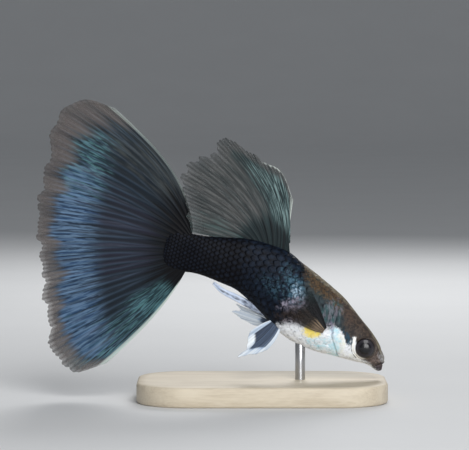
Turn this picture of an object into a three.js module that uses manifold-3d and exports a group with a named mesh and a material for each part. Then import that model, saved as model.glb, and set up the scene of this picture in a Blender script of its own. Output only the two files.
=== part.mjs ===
// Fancy guppy, life size, diving to the right and down, on a small display stand.
// Millimetres, +Z up. The fish's median plane is y = 0, its head points to +X and
// its right side faces -Y. The origin is the centre of the stand's underside.
import * as THREE from 'three';
import { mergeVertices } from 'three/addons/utils/BufferGeometryUtils.js';
import Module from 'manifold-3d';

const wasm = await Module();
wasm.setup();

// ---------- driving dimensions ----------
const GAP = 0.3; // clearance at every cut and seat
const BODY_LENGTH = 28; // snout to the end of the tail stalk
const SNOUT = new THREE.Vector2(14.4, 4.32); // tip of the mouth, (x, z)
const DIVE_ANGLE = 37; // slope of the front of the body, degrees
const STALK_ANGLE = 12; // slope of the tail stalk, degrees
const BEND_FROM = 17; // the back straightens between these two stations
const BEND_TO = 22;
const CHIN = new THREE.Vector2(0.1, -0.5); // how far the lower lip stands out, (x, z)
const CHIN_RUN = 1.8; // the chin fades into the jaw over this length
const RINGS = 30;
const RING_CROWDING = 1.25; // above 1 the rings stand closer together toward the snout
const SIDES = 24;

// station along the body, height above it, depth below it, half width,
// level of the widest point, roundness of the upper and of the lower half
const STATIONS = [
  [0.0, 0.52, 0.5, 0.62, 0.0, 2.2, 2.2],
  [0.6, 1.14, 0.92, 1.05, 0.0, 2.4, 2.2],
  [1.5, 1.72, 1.27, 1.45, 0.1, 2.5, 2.2],
  [3.0, 2.33, 1.95, 1.95, 0.3, 2.7, 2.1],
  [5.0, 2.85, 2.76, 2.3, 0.35, 2.7, 2.0],
  [8.0, 3.61, 3.89, 2.65, 0.1, 2.5, 1.9],
  [11.0, 3.89, 4.46, 2.75, -0.3, 2.3, 1.9],
  [13.0, 3.98, 4.35, 2.6, -0.1, 2.2, 1.9],
  [15.0, 3.99, 3.95, 2.35, 0.1, 2.2, 1.9],
  [17.0, 4.08, 3.63, 2.1, 0.1, 2.1, 2.0],
  [19.0, 3.55, 3.43, 1.8, 0.0, 2.1, 2.0],
  [22.0, 3.01, 2.93, 1.45, 0.0, 2.1, 2.1],
  [26.0, 2.44, 2.33, 1.0, 0.0, 2.1, 2.1],
  [28.0, 2.33, 2.44, 0.6, 0.0, 2.1, 2.1],
];

// cuts between the named parts of the body, as side-view lines (x, z)
const GILL_LINE = [[7.0, 30], [8.0, 15], [8.5, 12.6], [9.1, 10.6], [8.3, 7.9], [9.1, 5.5], [10.1, 2.6], [11, 0]];
const STALK_LINE = [[-2.9, 30], [-2.6, 20.5], [-2.0, 16.5], [-0.9, 12.5], [-0.6, 7.0], [-0.6, 0]];
const JAW_FLOOR = 2.6;
const JAW_OUTLINE = [[15.2, 4.55], [13.9, 4.65], [13.0, 4.2], [12.7, JAW_FLOOR], [15.2, JAW_FLOOR]];
const COVER_OUTLINE = [[8.3, 10.7], [7.3, 7.9], [8.2, 5.2], [10.2, 5.3], [10.9, 7.0], [10.4, 9.6]];
const COVER_THICKNESS = 0.6;
const COVER_CENTRE = [9.6, 7.6];
const COVER_HALF = 1.4; // half the cover's length, to widen its seat by one gap
const COVER_INNER = 0.6; // the covers end this far from the median plane

const EYE_STATION = new THREE.Vector2(12.3, 6.36); // centre of the eye, (x, z)
const EYE_RADIUS = 1.42;
const EYE_HALF_DEPTH = 0.9;
const EYE_OFFSET = 1.42; // centre of the eyeball from the median plane
const IRIS_RADIUS = 1.17;
const IRIS_RIM_WIDTH = 0.14;
const IRIS_RIM_DEPTH = 0.05;
const EYE_STEPS = 12;

const FIN_EDGE = 0.52; // thickness at a fin's tips
const RAY_RIDGE = 0.16; // how much a ray stands over the membrane, both sides together

// the film waves sideways: height of a wave and its turns across the fin, in radians
const TAIL_RIPPLE = [0.55, 9.5];
const TAIL_SWAY = [0.5, 3.1, 0.4];
const DORSAL_SWAY = [0.5, 5, 0.5];
const SIDE_FIN_CUP = 0.12;

// side fins stand off the median plane by this much at their root and at their tips
const PECTORAL_STAND = [2.3, 3.5];
const PELVIC_BACK_STAND = [0.8, 1.6];
const PELVIC_STAND = [0.8, 1.8];
const TAIL_ROOT_THICKNESS = 1.0;
const DORSAL_ROOT_THICKNESS = 0.9;
const SIDE_ROOT_THICKNESS = 0.6;

// tail fan: reach of its edge from the hub, (degrees above the tail's axis, mm)
const TAIL_HUB = new THREE.Vector2(-9.1, 18.35);
const TAIL_REACH = [
  [62.9, 18.7], [56.9, 21.1], [49, 22.1], [41, 21.4], [35.5, 20.0], [25, 19.1], [10.3, 18.0],
  [-1.2, 17.5], [-16.7, 17.9], [-27.7, 18.8], [-38.9, 20.6], [-44.8, 20.4], [-51.5, 19.4], [-55.5, 17.0],
];
const TAIL_ROOT_TOP = [-8.5, 21.0];
const TAIL_ROOT_LOW = [-9.4, 15.4];
const TAIL_RAYS = 18;
const LONG_RAY = 0.25; // every other ray of the tail reaches further out
const SHORT_RAY = -0.15;
const TAIL_BOW_TOP = -0.1; // rays bow outward at both edges of the fan
const TAIL_BOW_LOW = 0.045;

// each fin ray: root (x, z), tip (x, z), sideways bow as a share of its length
const DORSAL_RAYS = [
  [[3.4, 18.0], [3.75, 24.0], 0.04], [[2.9, 18.3], [2.3, 27.4], -0.06], [[2.4, 18.5], [-0.1, 28.8], -0.09],
  [[1.9, 18.7], [-2.2, 30.1], -0.1], [[1.4, 18.8], [-4.7, 31.3], -0.1], [[0.9, 18.9], [-6.0, 29.6], -0.1],
  [[0.4, 19.0], [-8.4, 28.5], -0.09], [[0.0, 19.1], [-9.5, 26.4], -0.08], [[-0.4, 19.15], [-9.2, 24.2], -0.06],
  [[-0.8, 19.2], [-8.6, 22.6], -0.03], [[-1.2, 19.2], [-8.3, 20.9], 0.0],
];
const PECTORAL_RAYS = [
  [[7.6, 8.9], [5.9, 13.3], -0.03], [[7.5, 8.75], [4.9, 13.2], -0.03], [[7.4, 8.6], [3.9, 12.4], 0.0],
  [[7.3, 8.45], [3.2, 11.3], 0.03], [[7.2, 8.3], [3.0, 10.2], 0.06],
];
const PELVIC_RAYS = [
  [[2.1, 8.2], [0.7, 6.2], 0.08], [[1.9, 8.4], [-0.5, 5.7], 0.06], [[1.7, 8.6], [-1.4, 5.6], 0.05],
  [[1.6, 8.8], [-2.9, 5.3], 0.05], [[1.45, 9.0], [-1.9, 6.2], 0.03], [[1.3, 9.2], [-1.75, 7.2], 0.0],
  [[1.15, 9.4], [-1.4, 8.4], -0.05],
];
const PELVIC_BACK_RAYS = [
  [[1.7, 8.6], [-1.0, 8.8], 0.04], [[1.5, 8.8], [-2.3, 9.5], 0.04], [[1.3, 9.0], [-3.5, 10.4], 0.04],
  [[1.1, 9.2], [-2.6, 10.6], 0.0], [[0.9, 9.5], [-3.1, 11.4], 0.0],
];
const GONOPODIUM_LINE = [[0.7, 10.3], [-1.2, 11.3], [-3.6, 12.5], [-5.3, 13.5], [-5.9, 14.1]];
const GONOPODIUM_RADII = [0.52, 0.5, 0.48, 0.36, 0.26];

const BASE_LENGTH = 30;
const BASE_WIDTH = 18;
const BASE_HEIGHT = 2.4;
const BASE_CORNER = 6;
const BASE_EASE = 0.3;
const ROD_X = 4.6;
const ROD_RADIUS = 0.6;
const ROD_SEAT = 1.3; // how far the rod goes down into the base
const ROD_TOP = 7.7;

// ---------- materials ----------
const finish = (colour, roughness, metalness = 0) =>
  new THREE.MeshStandardMaterial({ color: colour, roughness, metalness });
const FINISH = {
  head: finish('#7a6658', 0.4), jaw: finish('#6b6064', 0.45), cover: finish('#dfe9ec', 0.3, 0.2),
  trunk: finish('#6f9aa3', 0.35, 0.2), stalk: finish('#1a1a24', 0.4), eye: finish('#15141a', 0.1),
  dorsal: finish('#3f6f78', 0.4), caudal: finish('#3d5f8c', 0.4), pectoral: finish('#3c3a40', 0.4),
  pelvic: finish('#4d74b4', 0.4), gonopodium: finish('#5b6f9c', 0.4),
  base: finish('#c9ab7f', 0.55), rod: finish('#b9bcc0', 0.3, 1),
};

// ---------- closed solids and their meshes ----------
function toSolid(geometry) {
  const bare = geometry.clone();
  bare.deleteAttribute('normal');
  bare.deleteAttribute('uv');
  const merged = mergeVertices(bare, 1e-5);
  return new wasm.Manifold(new wasm.Mesh({
    numProp: 3,
    vertProperties: new Float32Array(merged.attributes.position.array),
    triVerts: new Uint32Array(merged.index.array),
  }));
}

function toMesh(name, solid, material) {
  const data = solid.getMesh();
  const geometry = new THREE.BufferGeometry();
  geometry.setAttribute('position', new THREE.BufferAttribute(new Float32Array(data.vertProperties), 3));
  geometry.setIndex(new THREE.BufferAttribute(new Uint32Array(data.triVerts), 1));
  geometry.computeVertexNormals();
  const mesh = new THREE.Mesh(geometry, material);
  mesh.name = name;
  return mesh;
}

// Six times the volume inside a set of triangles, below zero when they face inwards.
function signedVolume(positions, index) {
  const corner = (i) => new THREE.Vector3().fromArray(positions, 3 * index[i]);
  let sum = 0;
  for (let i = 0; i < index.length; i += 3) {
    sum += corner(i).dot(corner(i + 1).cross(corner(i + 2)));
  }
  return sum;
}

// A closed body from its corners and triangles, turned to face outwards.
function closedGeometry(positions, index) {
  const geometry = new THREE.BufferGeometry();
  geometry.setAttribute('position', new THREE.Float32BufferAttribute(positions, 3));
  geometry.setIndex(signedVolume(positions, index) < 0 ? index.reverse() : index);
  return geometry;
}

// A closed skin over rings of points that all have the same count.
function loftRings(rings) {
  const count = rings[0].length;
  const positions = rings.flat().flatMap((p) => [p.x, p.y, p.z]);
  const index = [];
  for (let i = 0; i + 1 < rings.length; i += 1) {
    for (let j = 0; j < count; j += 1) {
      const k = (j + 1) % count;
      const a = i * count + j;
      const b = i * count + k;
      const c = a + count;
      const d = b + count;
      index.push(a, b, d, a, d, c);
    }
  }
  for (const [ring, turned] of [[0, true], [rings.length - 1, false]]) {
    const centre = rings[ring].reduce((sum, p) => sum.add(p), new THREE.Vector3()).divideScalar(count);
    const tip = positions.push(centre.x, centre.y, centre.z) / 3 - 1;
    for (let j = 0; j < count; j += 1) {
      const a = ring * count + j;
      const b = ring * count + (j + 1) % count;
      index.push(...(turned ? [b, a, tip] : [a, b, tip]));
    }
  }
  return closedGeometry(positions, index);
}

// ---------- body ----------
const smooth = (t) => THREE.MathUtils.smoothstep(t, 0, 1);
const slopeAt = (s) => THREE.MathUtils.degToRad(
  THREE.MathUtils.lerp(DIVE_ANGLE, STALK_ANGLE, smooth((s - BEND_FROM) / (BEND_TO - BEND_FROM))),
);

function spinePoint(s) {
  const point = new THREE.Vector2(SNOUT.x, SNOUT.y);
  const steps = 60;
  const step = s / steps;
  for (let i = 0; i < steps; i += 1) {
    const slope = slopeAt((i + 0.5) * step);
    point.x -= Math.cos(slope) * step;
    point.y += Math.sin(slope) * step;
  }
  return point;
}

const stationKeys = STATIONS.map((row) => row[0]);
const stationValues = STATIONS.flatMap((row) => row.slice(1));
const stations = new THREE.CubicInterpolant(stationKeys, stationValues, 6);

function bodyRing(s, grow) {
  const [up, down, wide, level, powTop, powLow] = stations.evaluate(THREE.MathUtils.clamp(s, 0, BODY_LENGTH));
  const centre = spinePoint(s);
  const slope = slopeAt(s);
  const chinShare = 1 - smooth(s / CHIN_RUN);
  return Array.from({ length: SIDES }, (_, j) => {
    const turn = (2 * Math.PI * j) / SIDES;
    const across = Math.cos(turn);
    const rise = Math.sin(turn);
    const power = rise >= 0 ? powTop : powLow;
    const half = rise >= 0 ? up - level : down + level;
    const y = Math.sign(across) * Math.abs(across) ** (2 / power) * (wide + grow);
    const h = level + Math.sign(rise) * Math.abs(rise) ** (2 / power) * (half + grow);
    const chin = chinShare * Math.max(0, -rise);
    return new THREE.Vector3(
      centre.x + Math.sin(slope) * h + CHIN.x * chin,
      y,
      centre.y + Math.cos(slope) * h + CHIN.y * chin,
    );
  });
}

// The whole body as one solid, made larger or smaller by grow.
function bodySolid(grow) {
  const from = -grow;
  const to = BODY_LENGTH + grow;
  const rings = Array.from({ length: RINGS + 1 }, (_, i) => {
    const t = i / RINGS;
    return bodyRing(THREE.MathUtils.lerp(from, to, t ** RING_CROWDING), grow);
  });
  return toSolid(loftRings(rings));
}

// A block of side-view outline, running across the fish from y = from to y = to.
function slab(points, from, to) {
  const geometry = new THREE.ExtrudeGeometry(
    new THREE.Shape(points.map(([x, z]) => new THREE.Vector2(x, z))),
    { depth: to - from, bevelEnabled: false },
  );
  geometry.rotateX(Math.PI / 2); // outline's y becomes z, depth runs to -Y
  geometry.translate(0, to, 0);
  return toSolid(geometry);
}

// Everything on one side of a cut line: side 1 is ahead of it, -1 behind it.
const FAR = 60;
const curveThrough = (line) => new THREE.SplineCurve(line.map(([x, z]) => new THREE.Vector2(x, z)))
  .getPoints(10).map((p) => [p.x, p.y]);
function beyond(line, side, shift) {
  const curve = curveThrough(line).map(([x, z]) => [x + side * shift, z]);
  return slab([...curve, [side * FAR, -FAR], [side * FAR, FAR]], -FAR, FAR);
}

const body = bodySolid(0);
const roomyBody = bodySolid(GAP);

// ---------- eyes ----------
// A flattened ball with the rim of the iris and a low clear dome in front of it.
function eyeSolid(side, grow) {
  const radius = EYE_RADIUS + grow;
  const depth = EYE_HALF_DEPTH + grow;
  const profile = [];
  for (let i = 0; i <= EYE_STEPS; i += 1) {
    const turn = -Math.PI / 2 + (Math.PI * i) / EYE_STEPS;
    const r = radius * Math.cos(turn);
    const rim = turn > 0 && Math.abs(r - IRIS_RADIUS - grow) < IRIS_RIM_WIDTH ? IRIS_RIM_DEPTH : 0;
    profile.push(new THREE.Vector2(Math.max(r, 0), depth * Math.sin(turn) - rim));
  }
  profile[0].x = 0;
  profile[EYE_STEPS].x = 0;
  const geometry = new THREE.LatheGeometry(profile, 20);
  if (side < 0) geometry.rotateX(Math.PI); // the dome points out to +Y, or to -Y
  geometry.translate(EYE_STATION.x, 0, EYE_STATION.y);
  geometry.translate(0, side * EYE_OFFSET, 0);
  return toSolid(geometry);
}

// ---------- fins ----------
// A closed plate through rows of centre points, as thick as given at each one.
function plate(rows, thickness) {
  const at = (i, j) => rows[THREE.MathUtils.clamp(i, 0, rows.length - 1)][
    THREE.MathUtils.clamp(j, 0, rows[0].length - 1)];
  const faces = [1, -1].map((side) => rows.map((row, i) => row.map((p, j) => {
    const alongWay = new THREE.Vector3().subVectors(at(i + 1, j), at(i - 1, j));
    const acrossWay = new THREE.Vector3().subVectors(at(i, j + 1), at(i, j - 1));
    const normal = alongWay.cross(acrossWay).normalize();
    return p.clone().addScaledVector(normal, side * thickness(i, j) / 2);
  })));
  const wide = rows[0].length;
  const count = rows.length * wide;
  const positions = faces.flat(2).flatMap((p) => [p.x, p.y, p.z]);
  const index = [];
  const edge = { top: [], right: [], low: [], left: [] };
  rows.slice(1).forEach((_, i) => {
    for (let j = 0; j + 1 < wide; j += 1) {
      const a = i * wide + j;
      const c = a + wide;
      index.push(a, a + 1, c + 1, a, c + 1, c);
      index.push(a + 1 + count, a + count, c + 1 + count, c + 1 + count, a + count, c + count);
    }
    edge.right.push((i + 1) * wide - 1);
    edge.left.unshift((i + 1) * wide);
  });
  for (let j = 0; j + 1 < wide; j += 1) {
    edge.top.push(j);
    edge.low.unshift((rows.length - 1) * wide + j + 1);
  }
  const rim = [...edge.top, ...edge.right, ...edge.low, ...edge.left];
  rim.forEach((p, k) => {
    const q = rim[(k + 1) % rim.length];
    index.push(q, p, p + count, q, p + count, q + count);
  });
  return toSolid(closedGeometry(positions, index));
}

// A fin from its rays: membranes between them are a little thinner and shorter.
function raysToFin(rays, { steps, root, notch, spread }) {
  const curves = [];
  rays.forEach(([from, to, bow], i) => {
    curves.push({ from, to, bow, ray: true });
    const next = rays[i + 1];
    if (next) {
      const mid = (a, b) => [(a[0] + b[0]) / 2, (a[1] + b[1]) / 2];
      const start = mid(from, next[0]);
      const end = mid(to, next[1]);
      const short = [
        end[0] + (start[0] - end[0]) * notch,
        end[1] + (start[1] - end[1]) * notch,
      ];
      curves.push({ from: start, to: short, bow: (bow + next[2]) / 2, ray: false });
    }
  });
  const rows = Array.from({ length: steps + 1 }, (_, i) => curves.map(({ from, to, bow }, j) => {
    const t = i / steps;
    const dx = to[0] - from[0];
    const dz = to[1] - from[1];
    const arch = 4 * t * (1 - t) * (1.3 - 0.6 * t) * bow; // fuller toward the root
    const x = from[0] + dx * t - dz * arch;
    const z = from[1] + dz * t + dx * arch;
    return new THREE.Vector3(x, spread(t, j / (curves.length - 1)), z);
  }));
  return plate(rows, (i, j) => {
    const t = i / steps;
    const base = THREE.MathUtils.lerp(root, FIN_EDGE, Math.min(1, 1.6 * t));
    return base + (curves[j].ray ? RAY_RIDGE * (1 - t) : 0);
  });
}

function tailFin() {
  const angles = TAIL_REACH.map(([angle]) => -angle);
  const reaches = TAIL_REACH.map(([, reach]) => reach);
  const reachAt = new THREE.CubicInterpolant(angles, reaches, 1);
  const rays = Array.from({ length: TAIL_RAYS }, (_, i) => {
    const t = i / (TAIL_RAYS - 1);
    const angle = THREE.MathUtils.lerp(angles[0], angles.at(-1), t);
    const reach = reachAt.evaluate(angle)[0] + (i % 2 ? LONG_RAY : SHORT_RAY);
    const turn = THREE.MathUtils.degToRad(angle);
    const root = [
      THREE.MathUtils.lerp(TAIL_ROOT_TOP[0], TAIL_ROOT_LOW[0], t),
      THREE.MathUtils.lerp(TAIL_ROOT_TOP[1], TAIL_ROOT_LOW[1], t),
    ];
    const tip = [TAIL_HUB.x - Math.cos(turn) * reach, TAIL_HUB.y - Math.sin(turn) * reach];
    return [root, tip, THREE.MathUtils.lerp(TAIL_BOW_TOP, TAIL_BOW_LOW, t)];
  });
  return raysToFin(rays, {
    steps: 9,
    root: TAIL_ROOT_THICKNESS,
    notch: 0.03,
    spread: (t, across) => TAIL_RIPPLE[0] * t * t * Math.sin(across * TAIL_RIPPLE[1])
      + TAIL_SWAY[0] * t * Math.sin(across * TAIL_SWAY[1] + TAIL_SWAY[2]),
  });
}

// A fin beside the body: side is 1 for the left and -1 for the right.
const sideFin = (rays, side, [near, far]) => raysToFin(rays, {
  steps: 5,
  root: SIDE_ROOT_THICKNESS,
  notch: 0.06,
  spread: (t, across) => side * (THREE.MathUtils.lerp(near, far, t) + SIDE_FIN_CUP * Math.sin(across * Math.PI)),
});

function gonopodiumSolid() {
  const curve = new THREE.CatmullRomCurve3(GONOPODIUM_LINE.map(([x, z]) => new THREE.Vector3(x, 0, z)));
  const radii = new THREE.CubicInterpolant(
    GONOPODIUM_RADII.map((_, i) => i / (GONOPODIUM_RADII.length - 1)), GONOPODIUM_RADII, 1,
  );
  const steps = 12;
  const across = new THREE.Vector3(0, 1, 0);
  const rings = Array.from({ length: steps + 1 }, (_, i) => {
    const t = i / steps;
    const centre = curve.getPoint(t);
    const lift = new THREE.Vector3().crossVectors(curve.getTangent(t), across);
    const radius = radii.evaluate(t)[0];
    return Array.from({ length: 10 }, (__, j) => {
      const turn = (2 * Math.PI * j) / 10;
      return centre.clone()
        .addScaledVector(across, Math.cos(turn) * radius * 0.7)
        .addScaledVector(lift, -Math.sin(turn) * radius);
    });
  });
  return toSolid(loftRings(rings));
}

// ---------- stand ----------
function baseSolid() {
  const halfLength = BASE_LENGTH / 2 - BASE_EASE;
  const halfWidth = BASE_WIDTH / 2 - BASE_EASE;
  const corner = BASE_CORNER - BASE_EASE;
  const shape = new THREE.Shape();
  shape.moveTo(halfLength, -halfWidth + corner);
  shape.absarc(halfLength - corner, halfWidth - corner, corner, 0, Math.PI / 2);
  shape.absarc(-halfLength + corner, halfWidth - corner, corner, Math.PI / 2, Math.PI);
  shape.absarc(-halfLength + corner, -halfWidth + corner, corner, Math.PI, 1.5 * Math.PI);
  shape.absarc(halfLength - corner, -halfWidth + corner, corner, 1.5 * Math.PI, 2 * Math.PI);
  const geometry = new THREE.ExtrudeGeometry(shape, {
    depth: BASE_HEIGHT - 2 * BASE_EASE,
    bevelEnabled: true,
    bevelThickness: BASE_EASE,
    bevelSize: BASE_EASE,
    bevelSegments: 2,
    curveSegments: 6,
  });
  geometry.translate(0, 0, BASE_EASE);
  return toSolid(geometry);
}

function rodSolid(radius, from, to) {
  const geometry = new THREE.CylinderGeometry(radius, radius, to - from, 24);
  geometry.rotateX(Math.PI / 2);
  geometry.translate(ROD_X, 0, (from + to) / 2);
  return toSolid(geometry);
}

// ---------- parting the body ----------
const rodHole = rodSolid(ROD_RADIUS + GAP / 2, 0, ROD_TOP + GAP / 2);
const eyes = { left: eyeSolid(1, 0), right: eyeSolid(-1, 0) };
const sockets = eyeSolid(1, GAP).add(eyeSolid(-1, GAP));

const wholeHead = body.intersect(beyond(GILL_LINE, 1, 0)).subtract(sockets);
const jawRoom = JAW_OUTLINE.map(([x, z]) => [x < SNOUT.x ? x - GAP : x, z > JAW_FLOOR ? z + GAP : z]);
const jaw = wholeHead.intersect(slab(JAW_OUTLINE, -FAR, FAR));

const core = bodySolid(-COVER_THICKNESS);
const recess = bodySolid(-COVER_THICKNESS - GAP);
const coverWidening = 1 + GAP / COVER_HALF;
const coverOutline = curveThrough([...COVER_OUTLINE, COVER_OUTLINE[0]]);
const coverRoom = coverOutline.map(([x, z]) => [
  COVER_CENTRE[0] + (x - COVER_CENTRE[0]) * coverWidening,
  COVER_CENTRE[1] + (z - COVER_CENTRE[1]) * coverWidening,
]);
const coverShell = wholeHead.subtract(core);
const cover = (side) => coverShell.intersect(
  slab(coverOutline, side > 0 ? COVER_INNER : -FAR, side > 0 ? FAR : -COVER_INNER),
);
const seats = slab(coverRoom, -FAR, FAR).subtract(recess);

const head = wholeHead.subtract(slab(jawRoom, -FAR, FAR)).subtract(seats);
const behindHead = body.intersect(beyond(GILL_LINE, -1, GAP));
const trunk = behindHead.intersect(beyond(STALK_LINE, 1, 0)).subtract(rodHole);
const tailStalk = behindHead.intersect(beyond(STALK_LINE, -1, GAP));

const clear = (solid) => solid.subtract(roomyBody);
const dorsal = clear(raysToFin(DORSAL_RAYS, {
  steps: 8,
  root: DORSAL_ROOT_THICKNESS,
  notch: 0.05,
  spread: (t, across) => DORSAL_SWAY[0] * t * t * Math.sin(across * DORSAL_SWAY[1] + DORSAL_SWAY[2]),
}));

// ---------- assembly ----------
const guppy = new THREE.Group();
const add = (name, solid, material) => guppy.add(toMesh(name, solid, material));
add('head', head, FINISH.head);
add('lower_jaw', jaw, FINISH.jaw);
add('gill_cover_left', cover(1), FINISH.cover);
add('gill_cover_right', cover(-1), FINISH.cover);
add('trunk', trunk, FINISH.trunk);
add('tail_stalk', tailStalk, FINISH.stalk);
add('eye_left', eyes.left, FINISH.eye);
add('eye_right', eyes.right, FINISH.eye);
add('dorsal_fin', dorsal, FINISH.dorsal);
add('caudal_fin', clear(tailFin()), FINISH.caudal);
add('pectoral_fin_left', clear(sideFin(PECTORAL_RAYS, 1, PECTORAL_STAND)), FINISH.pectoral);
add('pectoral_fin_right', clear(sideFin(PECTORAL_RAYS, -1, PECTORAL_STAND)), FINISH.pectoral);
add('pelvic_fin_left', clear(sideFin(PELVIC_BACK_RAYS, 1, PELVIC_BACK_STAND)), FINISH.pelvic);
add('pelvic_fin_right', clear(sideFin(PELVIC_RAYS, -1, PELVIC_STAND)), FINISH.pelvic);
add('gonopodium', clear(gonopodiumSolid()), FINISH.gonopodium);
add('stand_base', baseSolid().subtract(
  rodSolid(ROD_RADIUS + GAP / 2, BASE_HEIGHT - ROD_SEAT - GAP, BASE_HEIGHT + 1),
), FINISH.base);
add('stand_rod', rodSolid(ROD_RADIUS, BASE_HEIGHT - ROD_SEAT, ROD_TOP), FINISH.rod);

export default guppy;
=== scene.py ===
# %% [markdown]
# # A fancy guppy as a life-size display model
# A male fancy guppy, nose down, with its tail fan spread and its dorsal fin raised, held
# over a small wooden base by one steel rod. Everything is built from named sizes in
# millimetres and turned into metres when a mesh is made. Side-view places are (x, z) in
# millimetres: x grows toward the head, z grows upward, and y = 0 is the fish's middle.

# %% Imports and the frame
import math

import bpy
import numpy as np
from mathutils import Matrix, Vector


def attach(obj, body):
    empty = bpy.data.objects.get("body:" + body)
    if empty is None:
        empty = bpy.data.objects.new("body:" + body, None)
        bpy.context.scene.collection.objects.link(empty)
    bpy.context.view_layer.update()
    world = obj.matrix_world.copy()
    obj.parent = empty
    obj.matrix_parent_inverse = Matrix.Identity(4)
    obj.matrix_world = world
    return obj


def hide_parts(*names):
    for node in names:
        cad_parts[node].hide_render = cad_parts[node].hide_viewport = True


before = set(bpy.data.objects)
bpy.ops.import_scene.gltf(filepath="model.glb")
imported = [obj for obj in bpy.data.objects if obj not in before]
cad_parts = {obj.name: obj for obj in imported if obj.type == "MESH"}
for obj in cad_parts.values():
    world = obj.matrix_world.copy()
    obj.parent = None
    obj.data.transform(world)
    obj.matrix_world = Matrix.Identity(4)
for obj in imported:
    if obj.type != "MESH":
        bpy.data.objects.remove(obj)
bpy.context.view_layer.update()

# %% [markdown]
# ## Small helpers
# A mesh here always starts as numpy arrays: points in millimetres, faces as index lists,
# and named float attributes that carry the markings. Two helpers are enough for all node
# trees: one turns a hex colour into linear light, and one adds a node, sets and links it.

# %% Colours and nodes
MM = 0.001
COLOUR = {"output": 2, "data_type": "RGBA"}  # what makes a Mix node blend colours


def linear(hexa):
    """An sRGB hex colour as a linear RGBA tuple."""
    shown = [int(hexa[i:i + 2], 16) / 255 for i in (1, 3, 5)]
    light = [v / 12.92 if v <= 0.04045 else ((v + 0.055) / 1.055) ** 2.4 for v in shown]
    return (*light, 1.0)


def node(tree, kind, sockets=None, output=0, **settings):
    """Add a shader node and return one output.

    A socket takes a number, another node's output, a hex colour or the name of a mark that
    the mesh stores at its points."""
    made = tree.nodes.new("ShaderNode" + kind)
    for name, value in settings.items():
        setattr(made, name, value)
    for key, value in (sockets or {}).items():
        if isinstance(value, str):
            stored = value[0] != "#"
            value = node(tree, "Attribute", output="Fac", attribute_name=value) if stored else linear(value)
        if isinstance(value, bpy.types.NodeSocket):
            tree.links.new(value, made.inputs[key])
        else:
            made.inputs[key].default_value = value
    return made.outputs[output] if made.outputs else made


# %% [markdown]
# Outlines and sections are described by a few measured rows. One curve passes through
# every row and gives the values in between. A soft step shapes the edge of a marking.

# %% Curves
def smooth(low, high, x):
    """0 below low, 1 above high and a soft S between them; low may be above high."""
    t = np.clip((np.asarray(x, float) - low) / (high - low), 0, 1)
    return t * t * (3 - 2 * t)


def through(rows, x):
    """Values at x on a smooth curve through rows of (key, value, value, ...)."""
    rows = np.asarray(rows, float)
    keys = rows[:, 0]
    values = rows[:, 1:]
    slopes = np.gradient(values, keys, axis=0)
    x = np.clip(np.asarray(x, float), keys[0], keys[-1])
    i = np.clip(np.searchsorted(keys, x, side="right") - 1, 0, len(keys) - 2)
    width = (keys[i + 1] - keys[i])[..., None]
    t = (x - keys[i])[..., None] / width
    start = (2 * t ** 3 - 3 * t ** 2 + 1) * values[i] + (t ** 3 - 2 * t ** 2 + t) * width * slopes[i]
    end = (3 * t ** 2 - 2 * t ** 3) * values[i + 1] + (t ** 3 - t ** 2) * width * slopes[i + 1]
    return start + end


# %% [markdown]
# Body, fins, scales and stand are grids of points, closed in one of two ways: a tube with
# two ends, or a sheet with a rim. A modifier could thicken a single sheet too, but faces
# written here close every mesh and keep its points known.

# %% Faces of grids, tubes and sheets
def grid_faces(rows, columns, closed):
    """Quads over a grid of points; closed joins the last column to the first."""
    i, j = np.meshgrid(np.arange(rows - 1), np.arange(columns if closed else columns - 1), indexing="ij")
    right = (j + 1) % columns
    quads = np.stack([i * columns + j, i * columns + right,
                      (i + 1) * columns + right, (i + 1) * columns + j], -1)
    return quads.reshape(-1, 4)


def tube_faces(rings, around):
    """Faces of a closed tube: its wall and the two flat ends."""
    ends = [list(range(around))[::-1], [(rings - 1) * around + j for j in range(around)]]
    return grid_faces(rings, around, True).tolist() + ends


def sheet_faces(rows, columns):
    """Faces of a closed sheet whose points are its upper grid and then its lower one."""
    top = grid_faces(rows, columns, False)
    count = rows * columns
    rim = list(range(columns - 1)) + [i * columns + columns - 1 for i in range(rows - 1)]
    rim += [count - 1 - k for k in rim]
    walls = [[rim[(k + 1) % len(rim)], rim[k], rim[k] + count, rim[(k + 1) % len(rim)] + count]
             for k in range(len(rim))]
    return top.tolist() + (top[:, ::-1] + count).tolist() + walls


def facing_out(points, faces):
    """The same faces, all turned over where they would enclose a negative volume."""
    triangles = [(f[0], f[k], f[k + 1]) for f in faces for k in range(1, len(f) - 1)]
    a, b, c = (np.asarray(points)[np.array(triangles)[:, k]] for k in range(3))
    inside_out = np.einsum("ij,ij->i", a, np.cross(b, c)).sum() < 0
    return [f[::-1] for f in faces] if inside_out else faces


# %% [markdown]
# Each piece is one mesh object. It is told which body it rides on, which material it wears
# and which solids of the plain model it takes the place of.

# %% One piece of the model
def make_piece(name, points, faces, marks, material, nodes):
    """One smooth-shaded mesh object from millimetre points, declared to the frame."""
    mesh = bpy.data.meshes.new(name)
    mesh.from_pydata((np.asarray(points) * MM).tolist(), [], facing_out(points, faces))
    for key, values in marks.items():
        values = np.asarray(values, np.float32)
        kind, field = ("FLOAT_VECTOR", "vector") if values.ndim == 2 else ("FLOAT", "value")
        mesh.attributes.new(key, kind, "POINT").data.foreach_set(field, values.ravel())
    mesh.shade_smooth()
    mesh.validate()
    mesh.materials.append(material)
    piece = bpy.data.objects.new(name, mesh)
    bpy.context.scene.collection.objects.link(piece)
    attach(piece, "root")
    if nodes:
        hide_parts(*nodes)
    print(f"{name}: {len(mesh.vertices)} points, {len(mesh.polygons)} faces")
    return piece


# %% [markdown]
# ## The run of the body
# The fish is longer than deep, with a blunt upturned mouth, a flat wide forehead, a deep
# belly and a strong tail stalk. One line runs from the mouth to the end of the stalk, and
# a rounded section stands across it at every station. A loft like this follows the real
# outline closely, while a short table of named sizes still describes it.

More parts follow.
